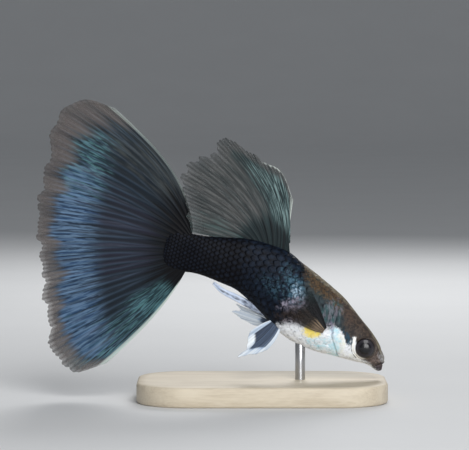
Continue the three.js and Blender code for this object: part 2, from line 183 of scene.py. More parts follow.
# %% Sizes of the body
BODY_LENGTH = 28.0
SNOUT = (14.4, 4.32)  # tip of the mouth, (x, z)
DIVE_ANGLE = 37.0  # the head and trunk point down by this many degrees
STALK_ANGLE = 12.0  # the tail stalk is flatter
BEND = (17.0, 22.0)  # stations where the flatter run starts and is reached
CHIN = (0.1, -0.5)  # how far the lower lip stands out, (x, z)
CHIN_RUN = 1.8  # the chin fades into the jaw over this length
LOBE_END = 30.3  # the scaled lobe that covers the root of the tail fan ends here
COAT_DEPTH = 0.1  # the skin lies this far inside the solid body, and the scales fill it

# station, height above the line, depth below it, half width, level of the widest point,
# roundness of the upper and of the lower half
STATIONS = [
    (0.0, 0.52, 0.5, 0.62, 0.0, 2.2, 2.2),
    (0.6, 1.14, 0.92, 1.05, 0.0, 2.4, 2.2),
    (1.5, 1.72, 1.27, 1.45, 0.1, 2.5, 2.2),
    (3.0, 2.33, 1.95, 1.95, 0.3, 2.7, 2.1),
    (5.0, 2.85, 2.76, 2.3, 0.35, 2.7, 2.0),
    (8.0, 3.61, 3.89, 2.65, 0.1, 2.5, 1.9),
    (11.0, 3.89, 4.46, 2.75, -0.3, 2.3, 1.9),
    (13.0, 3.98, 4.35, 2.6, -0.1, 2.2, 1.9),
    (15.0, 3.99, 3.95, 2.35, 0.1, 2.2, 1.9),
    (17.0, 4.08, 3.63, 2.1, 0.1, 2.1, 2.0),
    (19.0, 3.55, 3.43, 1.8, 0.0, 2.1, 2.0),
    (22.0, 3.01, 2.93, 1.45, 0.0, 2.1, 2.1),
    (26.0, 2.44, 2.33, 1.0, 0.0, 2.1, 2.1),
    (28.0, 2.33, 2.44, 0.6, 0.0, 2.1, 2.1),
    (29.2, 2.2, 2.35, 0.42, 0.0, 2.1, 2.1),
    (29.9, 1.75, 1.85, 0.32, 0.0, 2.1, 2.1),
    (30.3, 0.9, 1.0, 0.2, 0.0, 2.1, 2.1),
]

# %% [markdown]
# The line's slope changes smoothly from the head's dive to the flatter stalk, so it is
# added up in small steps. Each section is a superellipse: one number makes it rounder,
# boxier or more pointed, which a plain ellipse can't do.

# %% The bent line and the sections on it
FINE_STATIONS = np.linspace(-1.0, 31.0, 1281)
FINE_SLOPE = np.radians(DIVE_ANGLE + (STALK_ANGLE - DIVE_ANGLE) * smooth(*BEND, FINE_STATIONS))
FINE_STEP = FINE_STATIONS[1] - FINE_STATIONS[0]
FINE_X = -np.cumsum(np.cos(FINE_SLOPE)) * FINE_STEP
FINE_Z = np.cumsum(np.sin(FINE_SLOPE)) * FINE_STEP
FINE_X += SNOUT[0] - np.interp(0, FINE_STATIONS, FINE_X)
FINE_Z += SNOUT[1] - np.interp(0, FINE_STATIONS, FINE_Z)


def body_points(s, turn, shrink=COAT_DEPTH):
    """Points of the body's surface at stations s and angles turn (0 is the left side)."""
    up, down, wide, level, pow_up, pow_low = np.moveaxis(through(STATIONS, s), -1, 0)
    across = np.cos(turn)
    rise = np.sin(turn)
    power = np.where(rise >= 0, pow_up, pow_low)
    half = np.where(rise >= 0, up - level, down + level)
    y = np.sign(across) * np.abs(across) ** (2 / power) * (wide - shrink)
    h = level + np.sign(rise) * np.abs(rise) ** (2 / power) * (half - shrink)
    slope = np.interp(s, FINE_STATIONS, FINE_SLOPE)
    chin = smooth(CHIN_RUN, 0.0, s) * np.clip(-rise, 0, 1)
    x = np.interp(s, FINE_STATIONS, FINE_X) + np.sin(slope) * h + CHIN[0] * chin
    z = np.interp(s, FINE_STATIONS, FINE_Z) + np.cos(slope) * h + CHIN[1] * chin
    return np.stack([x, y, z], -1)


print("end of the stalk, x and z in mm:",
      [round(float(np.interp(BODY_LENGTH, FINE_STATIONS, v)), 1) for v in (FINE_X, FINE_Z)])

# %% [markdown]
# ## Where the markings lie
# The rear half of this guppy is black, its flank shines blue and violet, its back is
# bronze, and belly and cheek are silver. Each marking is a soft region in the side view,
# built from ellipses and lines, and stored as a value from 0 to 1 at every point. Skin
# and scales ask the same function, so a marking runs through both without a step.

# %% Lines in the side view
EYE = (12.3, 6.36)
MOUTH_LINE = [(15.0, 4.35), (14.3, 4.4), (13.7, 4.15)]
CRESCENT = [(11.14, 7.6), (10.96, 7.1), (10.88, 6.4), (11.05, 5.7), (11.5, 5.15)]
SILVER_LINE = [(0.0, 7.9), (1.3, 8.8), (1.7, 9.3), (3.3, 9.5), (5.0, 9.3), (6.0, 8.9), (7.5, 8.9),
               (8.7, 9.1), (9.3, 8.8), (9.75, 8.0), (10.1, 6.8), (10.6, 7.3), (11.0, 7.8), (11.3, 6.9),
               (11.9, 5.0), (12.7, 4.55), (13.2, 4.2), (14.4, 3.2)]
GILL_EDGE = [(3.0, 9.9), (5.5, 9.1), (7.9, 8.3), (10.6, 9.1), (12.6, 8.5), (15.0, 8.0)]
BACK_LINE = [(-10, 19.6), (-5, 19.7), (-1, 19.2), (2, 18.3), (4.5, 16.8), (6.4, 15.3),
             (8.8, 13.3), (11.2, 10.9), (12.8, 8.9), (13.9, 6.8), (14.6, 4.7)]


# %% [markdown]
# Most markings of a fish are blots and bands, so two brushes do nearly all the work: an
# ellipse and a line, both with a soft edge.

# %% Ellipses and lines with soft edges
def spot(x, z, centre, radii, tilt=0.0, edge=0.35):
    """An ellipse with a soft edge; tilt turns its long radius up from the x axis."""
    turn = math.radians(tilt)
    dx = x - centre[0]
    dz = z - centre[1]
    a = (dx * math.cos(turn) + dz * math.sin(turn)) / radii[0]
    b = (dz * math.cos(turn) - dx * math.sin(turn)) / radii[1]
    return smooth(1 + edge, 1 - edge, np.hypot(a, b))


def stroke(x, z, line, width, edge=0.6):
    """A soft line through side-view points."""
    line = np.asarray(line, float)
    nearest = np.full(np.shape(x), 1e9)
    for start, end in zip(line[:-1], line[1:]):
        way = end - start
        t = np.clip(((x - start[0]) * way[0] + (z - start[1]) * way[1]) / (way @ way), 0, 1)
        nearest = np.minimum(nearest, np.hypot(x - start[0] - t * way[0], z - start[1] - t * way[1]))
    return smooth(width * (1 + edge), width * (1 - edge), nearest)


# %% [markdown]
# Painting by hand would need an image. Regions written as formulas need none, and they
# stay in place when the mesh gets finer.

# %% All markings of the body
# Centre, radii, tilt and edge of the markings that are one ellipse.
SPOTS = {
    "green": ((6.6, 13.9), (1.7, 0.85), -55, 0.7),
    "gleam": ((4.3, 12.9), (0.95, 0.6), 110, 0.95),
    "violet": ((3.9, 11.7), (1.6, 0.7), 12, 0.9),
    "smoke": ((3.7, 10.35), (2.2, 0.75), 6, 0.7),
    "cheek": ((10.25, 7.6), (0.95, 0.34), -66, 0.6),
    "yellow": ((5.95, 8.45), (1.05, 0.75), -10, 0.6),
    "rust": ((6.7, 9.1), (0.2, 0.4), 20, 0.7),
    "snout": ((13.35, 5.0), (1.2, 0.8), -35, 0.7),
    "lip": ((14.5, 5.0), (0.8, 0.42), -62, 0.7),
    "chin": ((14.25, 3.75), (0.65, 0.5), 0, 0.5),
}


def markings(points):
    """All markings of the body at millimetre points, by name."""
    x, y, z = np.moveaxis(np.asarray(points, float), -1, 0)
    depth = through(BACK_LINE, x)[..., 0] - z  # distance below the back's outline
    above = z - np.interp(x, *np.array(SILVER_LINE).T)  # height over the silver's upper edge
    silver = smooth(0.5, -0.6, above) * smooth(0.6, 2.4, x)
    fore = smooth(4.3, 6.0, x + 0.1 * depth)
    crown = smooth(8.8, 10.8, x) * smooth(-0.3, 0.5, above)
    return {
        **{name: spot(x, z, *shape) for name, shape in SPOTS.items()},
        "navy": smooth(-4.0, 0.5, x) * (1 - fore),
        "front": fore,
        "bronze": smooth(3.1, 1.1, depth) * smooth(4.3, 6.2, x),
        "crown": crown,
        "umber": spot(x, z, (10.4, 10.2), (1.1, 0.6), 60, 0.8) * crown,
        # A thin pale band just under the back's outline is a painted highlight.
        "ridge": smooth(0.7, 0.15, depth) * smooth(4.0, 6.5, x),
        "glow": np.maximum.reduce([
            spot(x, z, (4.0, 13.3), (1.7, 1.0), 105, 0.9),
            0.4 * spot(x, z, (3.3, 14.9), (1.8, 1.2), 130, 0.9),
            0.35 * spot(x, z, (1.9, 13.6), (2.4, 1.3), 150, 0.9)]),
        "streaks": spot(x, z, (8.2, 10.4), (1.0, 1.7), -25, 0.8) * smooth(-0.2, 0.5, above),
        "silver": silver,
        "lilac": (smooth(0.75, 0.1, np.abs(above - 0.05)) * smooth(1.6, 3.0, x)
                  * smooth(9.2, 8.2, x)),
        "cyan": np.maximum.reduce([
            spot(x, z, (8.6, 6.6), (0.8, 1.4), 0, 0.9),
            0.7 * spot(x, z, (6.6, 7.0), (1.6, 0.8), -15, 0.9),
            0.7 * spot(x, z, (8.6, 8.6), (0.7, 0.5), -20, 0.8)]) * silver,
        "cream": np.clip(0.8 * spot(x, z, (9.5, 7.0), (0.5, 1.2), 0, 0.8)
                         + 0.4 * spot(x, z, (10.9, 5.7), (1.1, 0.6), 0, 0.8), 0, 1) * silver,
        "gill_line": stroke(x, z, [(8.2, 9.6), (8.4, 8.5), (8.5, 7.6)], 0.15, 0.9),
        "crescent": stroke(x, z, CRESCENT, 0.17, 0.85),
        # Painted shade in the cheek groove behind the white crescent.
        "crease": stroke(x, z, np.array(CRESCENT[1:]) - (0.24, 0.0), 0.05, 0.6),
        # Painted shade on the rim of the eye socket, above and ahead of the eye.
        "orbit": smooth(1.6, 1.3, np.hypot(x - EYE[0], z - EYE[1])) * smooth(-0.6, 0.8, x + z - 18.0),
        # Painted shade along the mouth's line.
        "cleft": stroke(x, z, MOUTH_LINE, 0.07, 0.6),
    }


# %% [markdown]
# ## Layered paint
# A fish's colour is pigment below, a silvery layer over it and thin iridescent plates on
# top, and a model maker paints it the same way: one glaze over another. So a material is
# a list of layers, from the ground up. Each layer follows its marking, and fine noise
# measured in millimetres breaks its edge up the way pigment cells do.

# %% Noise and glazes
def noise(tree, scale, stretch=(1.0, 1.0, 1.0)):
    """Noise around 0.5 over the millimetre grain that a piece stores at its points."""
    grain = node(tree, "Attribute", output="Vector", attribute_name="grain")
    placed = node(tree, "Mapping", {"Vector": grain, "Scale": stretch})
    clouds = node(tree, "TexNoise", {"Vector": placed, "Scale": scale, "Detail": 3.0, "Roughness": 0.6})
    cells = node(tree, "TexVoronoi", {"Vector": placed, "Scale": scale * 1.9})
    raised = node(tree, "Math", {0: clouds, 1: 0.1}, operation="ADD")
    return node(tree, "Math", {0: cells, 1: -0.22, 2: raised}, operation="MULTIPLY_ADD")


def paint(tree, ground, layers):
    """Lay glazes over a ground; a layer is mark, hex, strength, mottle, noise scale[, stretch].

    Mottle up to 1 thins the glaze in the hollows of the noise, above 1 it also draws the
    flecks sharper."""
    colour = ground
    for mark, hexa, strength, mottle, scale, *stretch in layers:
        grainy = noise(tree, scale, *stretch)
        half = 0.17 / max(mottle, 1.0)
        cover = node(tree, "MapRange", {"Value": grainy, "From Min": 0.5 - half, "From Max": 0.5 + half,
                                        "To Min": 1.0 - min(mottle, 1.0), "To Max": 1.0},
                     interpolation_type="SMOOTHSTEP")
        # The noise moves a marking's edge, and nothing where the marking is absent.
        room = node(tree, "Math", {0: mark, 1: 6.0}, operation="MULTIPLY")
        room = node(tree, "Math", {0: room, 1: 1.8}, operation="MINIMUM")
        shift = node(tree, "Math", {0: grainy, 1: 0.5}, operation="SUBTRACT")
        moved = node(tree, "Math", {0: shift, 1: room, 2: mark}, operation="MULTIPLY_ADD")
        held = node(tree, "MapRange", {"Value": moved, "From Min": 0.05, "From Max": 0.95,
                                       "To Max": strength}, interpolation_type="SMOOTHSTEP")
        share = node(tree, "Math", {0: held, 1: cover}, operation="MULTIPLY")
        colour = node(tree, "Mix", {0: share, 6: colour, 7: hexa}, **COLOUR)
    return colour


# %% [markdown]
# Every material starts empty and ends in one Principled shader, because its sockets are
# what an export can keep.

# %% Starting and ending a material
def new_material(name):
    """An empty material and its node tree."""
    material = bpy.data.materials.new(name)
    material.use_nodes = True
    material.node_tree.nodes.clear()
    return material, material.node_tree


def surface(tree, sockets):
    """End a node tree in one shader with these values and links."""
    node(tree, "OutputMaterial", {"Surface": node(tree, "BsdfPrincipled", sockets)})


# %% [markdown]
# ## Paint of the skin
# Fish skin is dark pigment under silvery and iridescent cells. The table reads from the
# ground up, in the order in which a model maker would lay the glazes: dark fields, their
# lighter flecks, the silver of the belly, and the small sharp marks last.

# %% Layers of the skin's paint
UPRIGHT = (1.0, 1.0, 0.35)  # flecks about three times as high as wide
SKIN_LAYERS = [
    ("navy", "#0c111a", 0.85, 0.5, 1.2),
    ("navy", "#1b283a", 0.38, 1.3, 2.4),
    ("front", "#343f44", 1.0, 0.3, 1.4),
    ("green", "#26383a", 0.9, 0.4, 1.4),
    ("bronze", "#3f342a", 0.95, 0.4, 1.2),
    ("bronze", "#6d563c", 0.5, 1.4, 2.6),
    ("crown", "#383230", 0.95, 0.3, 1.4),
    ("crown", "#5b5049", 0.5, 1.4, 2.6),
    ("umber", "#56473f", 0.6, 0.8, 2.0),
    # Painted highlight along the top of the back.
    ("ridge", "#8f8773", 0.7, 0.5, 2.4),
    ("glow", "#243f50", 0.85, 0.6, 1.5),
    ("glow", "#557786", 0.4, 1.6, 3.0),
    ("gleam", "#93a9ba", 0.75, 1.3, 2.6),
    ("violet", "#a09aab", 0.85, 0.8, 2.0),
    ("smoke", "#382f2b", 0.8, 0.6, 2.0),
    ("streaks", "#3f6264", 0.6, 1.0, 2.2, UPRIGHT),
    ("streaks", "#85818c", 0.5, 1.5, 2.8, UPRIGHT),
    ("silver", "#f5f9ff", 1.0, 0.15, 2.2),
    ("lilac", "#8e8790", 0.65, 1.0, 2.2),
    ("cyan", "#b3e4f2", 0.8, 0.5, 1.3),
    ("cream", "#eceedb", 0.7, 0.5, 1.6),
    ("gill_line", "#837b98", 0.7, 0.6, 3.0),
    ("cheek", "#2c4c5e", 0.92, 0.8, 3.0, UPRIGHT),
    ("yellow", "#ffe97e", 1.0, 0.0, 2.2),
    ("rust", "#95592f", 0.85, 0.5, 3.0),
    ("snout", "#786a65", 0.85, 0.8, 3.0),
    ("lip", "#9b9c9f", 0.8, 0.6, 3.0),
    ("chin", "#48424a", 0.85, 0.5, 3.0),
    # Painted shade above and ahead of the eye.
    ("orbit", "#332c28", 0.7, 0.4, 4.0),
    ("crescent", "#fbfbf8", 1.0, 0.2, 2.0),
    # Painted shade in the cheek groove.
    ("crease", "#2c2b31", 0.85, 0.2, 2.0),
    # Painted shade along the mouth's line.
    ("cleft", "#1f1a1d", 0.9, 0.2, 4.0),
]


# %% [markdown]
# Skin and scales share one material, so the colour runs on where the scales begin. The
# iridescent plates are a little metallic, and the rest is varnished pigment.

# %% The material of skin and scales
def body_material(name, layers):
    """Fish skin: glazed colour, a little metallic where it shines, fine relief."""
    material, tree = new_material(name)
    dark = node(tree, "Mix", {0: noise(tree, 1.4), 6: "#040406", 7: "#09090e"}, **COLOUR)
    colour = paint(tree, dark, layers)
    # Every scale has a pale centre, where light comes back from its plate, and a dark margin.
    fleck = node(tree, "Math", {0: noise(tree, 1.1), 1: 0.4}, operation="MULTIPLY")
    glint = node(tree, "Math", {0: "centre", 1: fleck}, operation="MULTIPLY")
    colour = node(tree, "Mix", {0: glint, 6: colour, 7: "#37465e"}, **COLOUR)
    edge = node(tree, "Math", {0: "margin", 1: 0.5}, operation="MULTIPLY")
    colour = node(tree, "Mix", {0: edge, 6: colour, 7: "#060609"}, **COLOUR)
    surface(tree, {
        "Base Color": colour,
        "Metallic": node(tree, "Math", {0: "glow", 1: 0.5}, operation="MULTIPLY"),
        "Roughness": node(tree, "MapRange", {"Value": noise(tree, 3.0), "To Min": 0.36, "To Max": 0.6}),
        "Normal": node(tree, "Bump", {"Height": noise(tree, 9.0), "Distance": 0.00002, "Strength": 0.4}),
        "IOR": 1.36, "Specular IOR Level": 0.14})
    return material


# Skin of a water animal in varnish: IOR near water's, satin and never glassy, so the black
# stays black, and only the iridescent plates of the flank throw light back like metal.
SKIN = body_material("guppy_skin_satin_glaze", SKIN_LAYERS)
print("skin layers:", len(SKIN_LAYERS))

# %% [markdown]
# ## The skin, in one piece
# Head, jaw, gill covers, trunk and tail stalk are one skin on a real fish, so one closed
# surface replaces all the solids that they were parted into. Rings of points start inside
# the mouth, turn over the lips and run to the end of the stalk. The eye sockets, the edge
# of the gill cover, the cheek groove, the nostrils and the corner of the mouth are pressed
# or raised along the surface's own normals.

# %% Relief of the skin
AROUND = 224
HEAD_END = 9.0
# rings inside the mouth: depth, and width and height as shares of the lips'
MOUTH = [(0.9, 0.3, 0.05), (0.5, 0.62, 0.1), (0.16, 0.8, 0.28), (-0.06, 0.9, 0.62), (-0.1, 0.97, 0.86)]


def surface_normals(grid):
    """Outward unit normals of a closed ring-by-ring grid."""
    along = np.gradient(grid, axis=0)
    across = np.roll(grid, -1, axis=1) - np.roll(grid, 1, axis=1)
    normal = np.cross(along, across)
    normal /= np.linalg.norm(normal, axis=-1, keepdims=True) + 1e-12
    centre = grid.mean(axis=1, keepdims=True)
    flip = np.sign((normal * (grid - centre)).sum(-1, keepdims=True).mean(axis=1, keepdims=True))
    return normal * np.where(flip == 0, 1, flip)


def side_relief(grid):
    """How far the skin stands in or out at each point, in mm."""
    x, y, z = np.moveaxis(grid, -1, 0)
    flank = smooth(0.5, 1.1, np.abs(y))
    eye = np.hypot(x - EYE[0], z - EYE[1])
    relief = -0.62 * smooth(1.2, 0.9, eye) * flank
    relief += 0.09 * np.exp(-((eye - 1.28) / 0.13) ** 2) * flank
    ahead = x - np.interp(z, *np.array(GILL_EDGE).T)
    level = smooth(4.6, 5.6, z) * smooth(12.2, 10.6, z) * flank
    relief += 0.18 * level * smooth(-0.05, 0.08, ahead) * smooth(2.6, 0.4, ahead)
    relief -= 0.08 * level * np.exp(-((ahead + 0.14) / 0.1) ** 2)
    relief -= 0.06 * flank * stroke(x, z, [(10.75, 7.6), (10.62, 6.7), (10.95, 5.75), (11.6, 5.1)], 0.1)
    relief -= 0.09 * smooth(0.2, 0.5, np.abs(y)) * spot(x, z, (13.55, 6.75), (0.16, 0.11), -50, 0.6)
    relief -= 0.1 * stroke(x, z, MOUTH_LINE, 0.11) * smooth(0.2, 0.6, np.abs(y))
    return relief


# %% [markdown]
# The rings are laid along the bent line and pushed along their normals by the relief.
# Sculpting would work as well, but a formula puts each groove at its measured place.

# %% Rings from the mouth to the stalk
# The rings stand closer over the head than behind it.
stations = np.concatenate([np.linspace(0.0, HEAD_END, 190)[:-1], np.linspace(HEAD_END, LOBE_END, 240)])
turns = np.linspace(0, 2 * math.pi, AROUND, endpoint=False)
skin_grid = body_points(*np.meshgrid(stations, turns, indexing="ij"))
lip_roll = 0.12 * np.exp(-((stations - 0.25) / 0.25) ** 2) - 0.06 * np.exp(-((stations - 1.0) / 0.2) ** 2)
skin_grid += surface_normals(skin_grid) * (side_relief(skin_grid) + lip_roll[:, None])[..., None]

lip = skin_grid[0]
lip_centre = lip.mean(axis=0)
inward = np.array([-math.cos(math.radians(DIVE_ANGLE)), 0.0, math.sin(math.radians(DIVE_ANGLE))])
inside = [lip_centre + (lip - lip_centre) * np.array([high, wide, high]) + deep * inward
          for deep, wide, high in MOUTH]
whole = np.concatenate([np.array(inside), skin_grid])
points = whole.reshape(-1, 3)
marks = markings(points)
marks["grain"] = points
marks["centre"] = np.zeros(len(points))
marks["margin"] = np.zeros(len(points))
make_piece("guppy_skin", points, tube_faces(len(whole), AROUND), marks, SKIN,
           ["head", "lower_jaw", "gill_cover_left", "gill_cover_right", "trunk", "tail_stalk"])

# %% [markdown]
# ## The scales
# A guppy has large rounded scales, each overlapping the one behind it. They are modelled
# one by one as thin domed plates laid on the skin, twenty around the body: the front edge
# is tucked under, the rear edge stands free. The spacing follows the girth, so the scales
# get smaller toward the tail. All of them are one mesh, and OFBake gives each scale a
# small patch at its own place on an unwrap by station and share of the girth.

# %% Even spacing around the body
ROWS_AROUND = 20
FIRST_SCALE = 6.6
LAST_SCALE = LOBE_END - 0.4
SCALE_THICKNESS = 0.03
SCALE_LIFT = 0.04
CELLS = 8  # points along each side of a plate
PATCH = 0.003  # width of a scale's patch in OFBake
UV_RUN = 32.0  # millimetres of station that OFBake spans

girth_turns = np.linspace(0, 2 * math.pi, 721)
scale_stations = np.linspace(0.0, LOBE_END, 304)
rings = body_points(*np.meshgrid(scale_stations, girth_turns, indexing="ij"))
run = np.concatenate([np.zeros((len(rings), 1)),
                      np.cumsum(np.linalg.norm(np.diff(rings, axis=1), axis=2), axis=1)], axis=1)
girth = run[:, -1]
SHARES = np.linspace(0, 1, 361)
turn_at = np.array([np.interp(SHARES * run[i, -1], run[i], girth_turns) for i in range(len(rings))])
even = body_points(scale_stations[:, None] + 0 * SHARES, turn_at)
even_normal = surface_normals(even[:, :-1])
even_normal = np.concatenate([even_normal, even_normal[:, :1]], axis=1)
even = even + even_normal * side_relief(even)[..., None]


def on_skin(s, share):
    """Point and normal of the skin at station s and share of the girth."""
    i = np.clip(s / LOBE_END, 0, 1) * (len(scale_stations) - 1)
    j = (share % 1.0) * (len(SHARES) - 1)
    i0 = np.clip(i.astype(int), 0, len(scale_stations) - 2)
    j0 = np.clip(j.astype(int), 0, len(SHARES) - 2)
    fi = (i - i0)[..., None]
    fj = (j - j0)[..., None]
    result = []
    for field in (even, even_normal):
        near = field[i0, j0] * (1 - fj) + field[i0, j0 + 1] * fj
        far = field[i0 + 1, j0] * (1 - fj) + field[i0 + 1, j0 + 1] * fj
        result.append(near * (1 - fi) + far * fi)
    return result


# %% [markdown]
# A real scale is a thin rounded plate. Each one starts as a small square grid that is
# drawn into a disc, which gives even faces and no pole in the middle.

# %% One plate
side = np.linspace(-1, 1, CELLS)
flat_u, flat_v = np.meshgrid(side, side, indexing="ij")
disc_u = flat_u * np.sqrt(1 - flat_v ** 2 / 2)  # along the body, front to rear
disc_v = flat_v * np.sqrt(1 - flat_u ** 2 / 2)  # around the body
rng = np.random.default_rng(7)
# The sheet is turned over, because its upper grid has to face away from the skin.
plate_faces = [[face[0], *face[:0:-1]] for face in sheet_faces(CELLS, CELLS)]
print("faces of one plate:", len(plate_faces))

# %% [markdown]
# Scales stand in rings that are offset by half a scale, like roof tiles. An array can't
# follow a girth that changes, so each ring takes its pitch from the girth at its own
# station. Every plate differs a little in size and shine.

# %% Laying the plates
scale_points = []
scale_faces = []
scale_marks = {"centre": [], "margin": []}
scale_uv = []
s = FIRST_SCALE
column = 0
while s < LAST_SCALE:
    pitch = float(np.interp(s, scale_stations, girth)) / ROWS_AROUND
    step = 0.86 * pitch
    for row in range(ROWS_AROUND):
        share = (row + 0.5 * (column % 2)) / ROWS_AROUND + 0.25
        middle, _ = on_skin(np.array([s]), np.array([share]))
        ahead = middle[0, 0] - np.interp(middle[0, 2], *np.array(GILL_EDGE).T)
        low = middle[0, 2] < 12.0
        if low and ahead > -0.75:
            continue
        size = 1 + 0.05 * rng.standard_normal()
        along = s + (disc_u * 0.98 * step + 0.12 * step) * size
        along = along + 0.05 * step * np.cos(disc_v * 4)
        around = share + disc_v * 0.64 / ROWS_AROUND * size
        base, normal = on_skin(np.clip(along, 0, LOBE_END), around)
        rise = SCALE_LIFT * (0.5 + 0.5 * flat_u) + 0.012 * (1 - disc_v ** 2) - 0.01
        top = base + normal * (rise + SCALE_THICKNESS * (1 - 0.5 * (flat_u ** 4)))[..., None]
        low_side = base + normal * (rise - 0.012)[..., None]
        start = sum(len(p) for p in scale_points)
        scale_points.append(np.concatenate([top.reshape(-1, 3), low_side.reshape(-1, 3)]))
        scale_faces += [[start + i for i in face] for face in plate_faces]
        centre = np.exp(-(((disc_u - 0.25) / 0.36) ** 2 + (disc_v / 0.42) ** 2)).ravel()
        margin = smooth(0.72, 1.0, np.hypot(disc_u, disc_v)).ravel()
        fade = float(rng.uniform(0.55, 1.0))
        scale_marks["centre"] += [centre * fade, centre * fade]
        scale_marks["margin"] += [margin, margin]
        place = np.stack([s / UV_RUN + disc_u * PATCH / 2, share % 1.0 + disc_v * PATCH / 2], -1)
        scale_uv += [place.reshape(-1, 2)] * 2
    s += step
    column += 1

# %% [markdown]
# Hundreds of objects would be slow to handle, so the plates become one mesh. Its unwrap
# is written from each plate's place, because plates this small unwrap badly in bulk.

# %% One mesh of scales and its unwrap
points = np.concatenate(scale_points)
marks = markings(points)
marks["grain"] = points
marks["centre"] = np.concatenate(scale_marks["centre"]) * (1 - 0.85 * marks["front"]) * (1 - marks["silver"])
marks["margin"] = np.concatenate(scale_marks["margin"]) * (1 - 0.6 * marks["front"]) * (1 - marks["silver"])
scales = make_piece("guppy_scales", points, scale_faces, marks, SKIN, [])
unwrap = scales.data.uv_layers.new(name="OFBake")
corner_points = np.empty(len(scales.data.loops), np.int32)
scales.data.loops.foreach_get("vertex_index", corner_points)
corner_uv = np.clip(np.concatenate(scale_uv)[corner_points], 0.002, 0.998)
unwrap.data.foreach_set("uv", corner_uv.astype(np.float32).ravel())
print("scales:", len(scale_points), "in", column, "rings around the body")

# %% [markdown]
# ## The eyes
# A guppy's eye is large and round, a little domed, with a black lens, a dark grey iris and
# a thin brown rim, on which a pale sheen is painted behind and below. The eyeball is one closed body turned
# around its own axis, with the lens standing slightly proud of the iris. Rings of paint
# follow the distance from that axis.

# %% Eye paint
EYE_RADIUS = 1.42
EYE_HALF_DEPTH = 0.9
EYE_OFFSET = 1.42
IRIS_RADIUS = 1.17
PUPIL_RADIUS = 0.66

# A painted ball under clear varnish: the smooth coat gives the eye its wet catchlight.
eye_material, tree = new_material("eye_clear_coated")
wobble = node(tree, "Math", {0: noise(tree, 3.0), 1: 0.5}, operation="SUBTRACT")
ring_at = node(tree, "Math", {0: wobble, 1: 0.1, 2: "ring"}, operation="MULTIPLY_ADD")
iris = node(tree, "ValToRGB", {"Fac": ring_at})
stops = [(0.0, "#050509"), (0.38, "#08080d"), (0.46, "#121117"), (0.56, "#242227"), (0.7, "#2e2b31"),
         (0.77, "#181516"), (0.84, "#2f2926"), (1.0, "#57493f")]
elements = iris.node.color_ramp.elements
for k, (place, hexa) in enumerate(stops):
    stop = elements[k] if k < 2 else elements.new(place)
    stop.position = place
    stop.color = linear(hexa)
surface(tree, {
    "Base Color": node(tree, "Mix", {0: "silvered", 6: iris, 7: "#e9e7e3"}, **COLOUR),
    "Roughness": 0.25, "IOR": 1.4, "Coat Weight": 0.28, "Coat Roughness": 0.03})


# %% [markdown]
# The eyeball's outline is half an ellipse with a groove around the iris and a raised
# lens. A sphere could be dented too, but turning the outline around its axis keeps the
# rings of faces true to the rings of the eye.

# %% Turned eyeballs
def lathe(profile, around):
    """Points and faces of a closed body turned around the z axis from (radius, z) rows."""
    profile = np.asarray(profile, float)
    angle = np.linspace(0, 2 * math.pi, around, endpoint=False)
    inner = profile[1:-1]
    body = np.stack([inner[:, :1] * np.cos(angle), inner[:, :1] * np.sin(angle),
                     inner[:, 1:] + 0 * angle], -1).reshape(-1, 3)
    points = np.concatenate([body, [[0, 0, profile[0, 1]], [0, 0, profile[-1, 1]]]])
    faces = grid_faces(len(inner), around, True).tolist()
    first = len(body)
    last = (len(inner) - 1) * around
    faces += [[(j + 1) % around, j, first] for j in range(around)]
    faces += [[last + j, last + (j + 1) % around, first + 1] for j in range(around)]
    return points, faces


profile = []
for turn in np.linspace(-math.pi / 2, math.pi / 2, 61):
    radius = EYE_RADIUS * math.cos(turn)
    height = EYE_HALF_DEPTH * math.sin(turn)
    if turn > 0:
        height -= 0.05 * float(np.exp(-((radius - IRIS_RADIUS) / 0.08) ** 2))
        height += 0.05 * float(smooth(PUPIL_RADIUS + 0.08, PUPIL_RADIUS - 0.08, radius))
    profile.append((max(radius, 0.0), height))
for side_name, sign in (("left", 1), ("right", -1)):
    ball, faces = lathe(profile, 64)
    ring = np.where(ball[:, 2] > -0.1, np.hypot(ball[:, 0], ball[:, 1]) / EYE_RADIUS, 1.0)
    placed = np.stack([EYE[0] + ball[:, 0], sign * (EYE_OFFSET + ball[:, 2]), EYE[1] + ball[:, 1]], -1)
    # A painted pale sheen on the rim, strongest toward the rear and below.
    rearward = -(0.9 * ball[:, 0] + 0.45 * ball[:, 1]) / EYE_RADIUS
    silvered = 0.9 * smooth(0.78, 0.9, ring) * smooth(0.25, 0.75, rearward)
    make_piece(f"guppy_eye_{side_name}", placed, faces, {"ring": ring, "silvered": silvered, "grain": placed},
               eye_material, [f"eye_{side_name}"])

# %% [markdown]
# ## How a fin is built
# A fin is a film held open by bony rays that fork toward the edge. One function builds
# them all: a table of main rays gives root, tip and bow, a smooth grid spans them, forked
# ridges rise over both faces along the rays, the edge is ragged between the ray tips, and
# the sheet waves out of its plane. The grain is measured across and along the rays, so
# every streak of colour follows a ray.

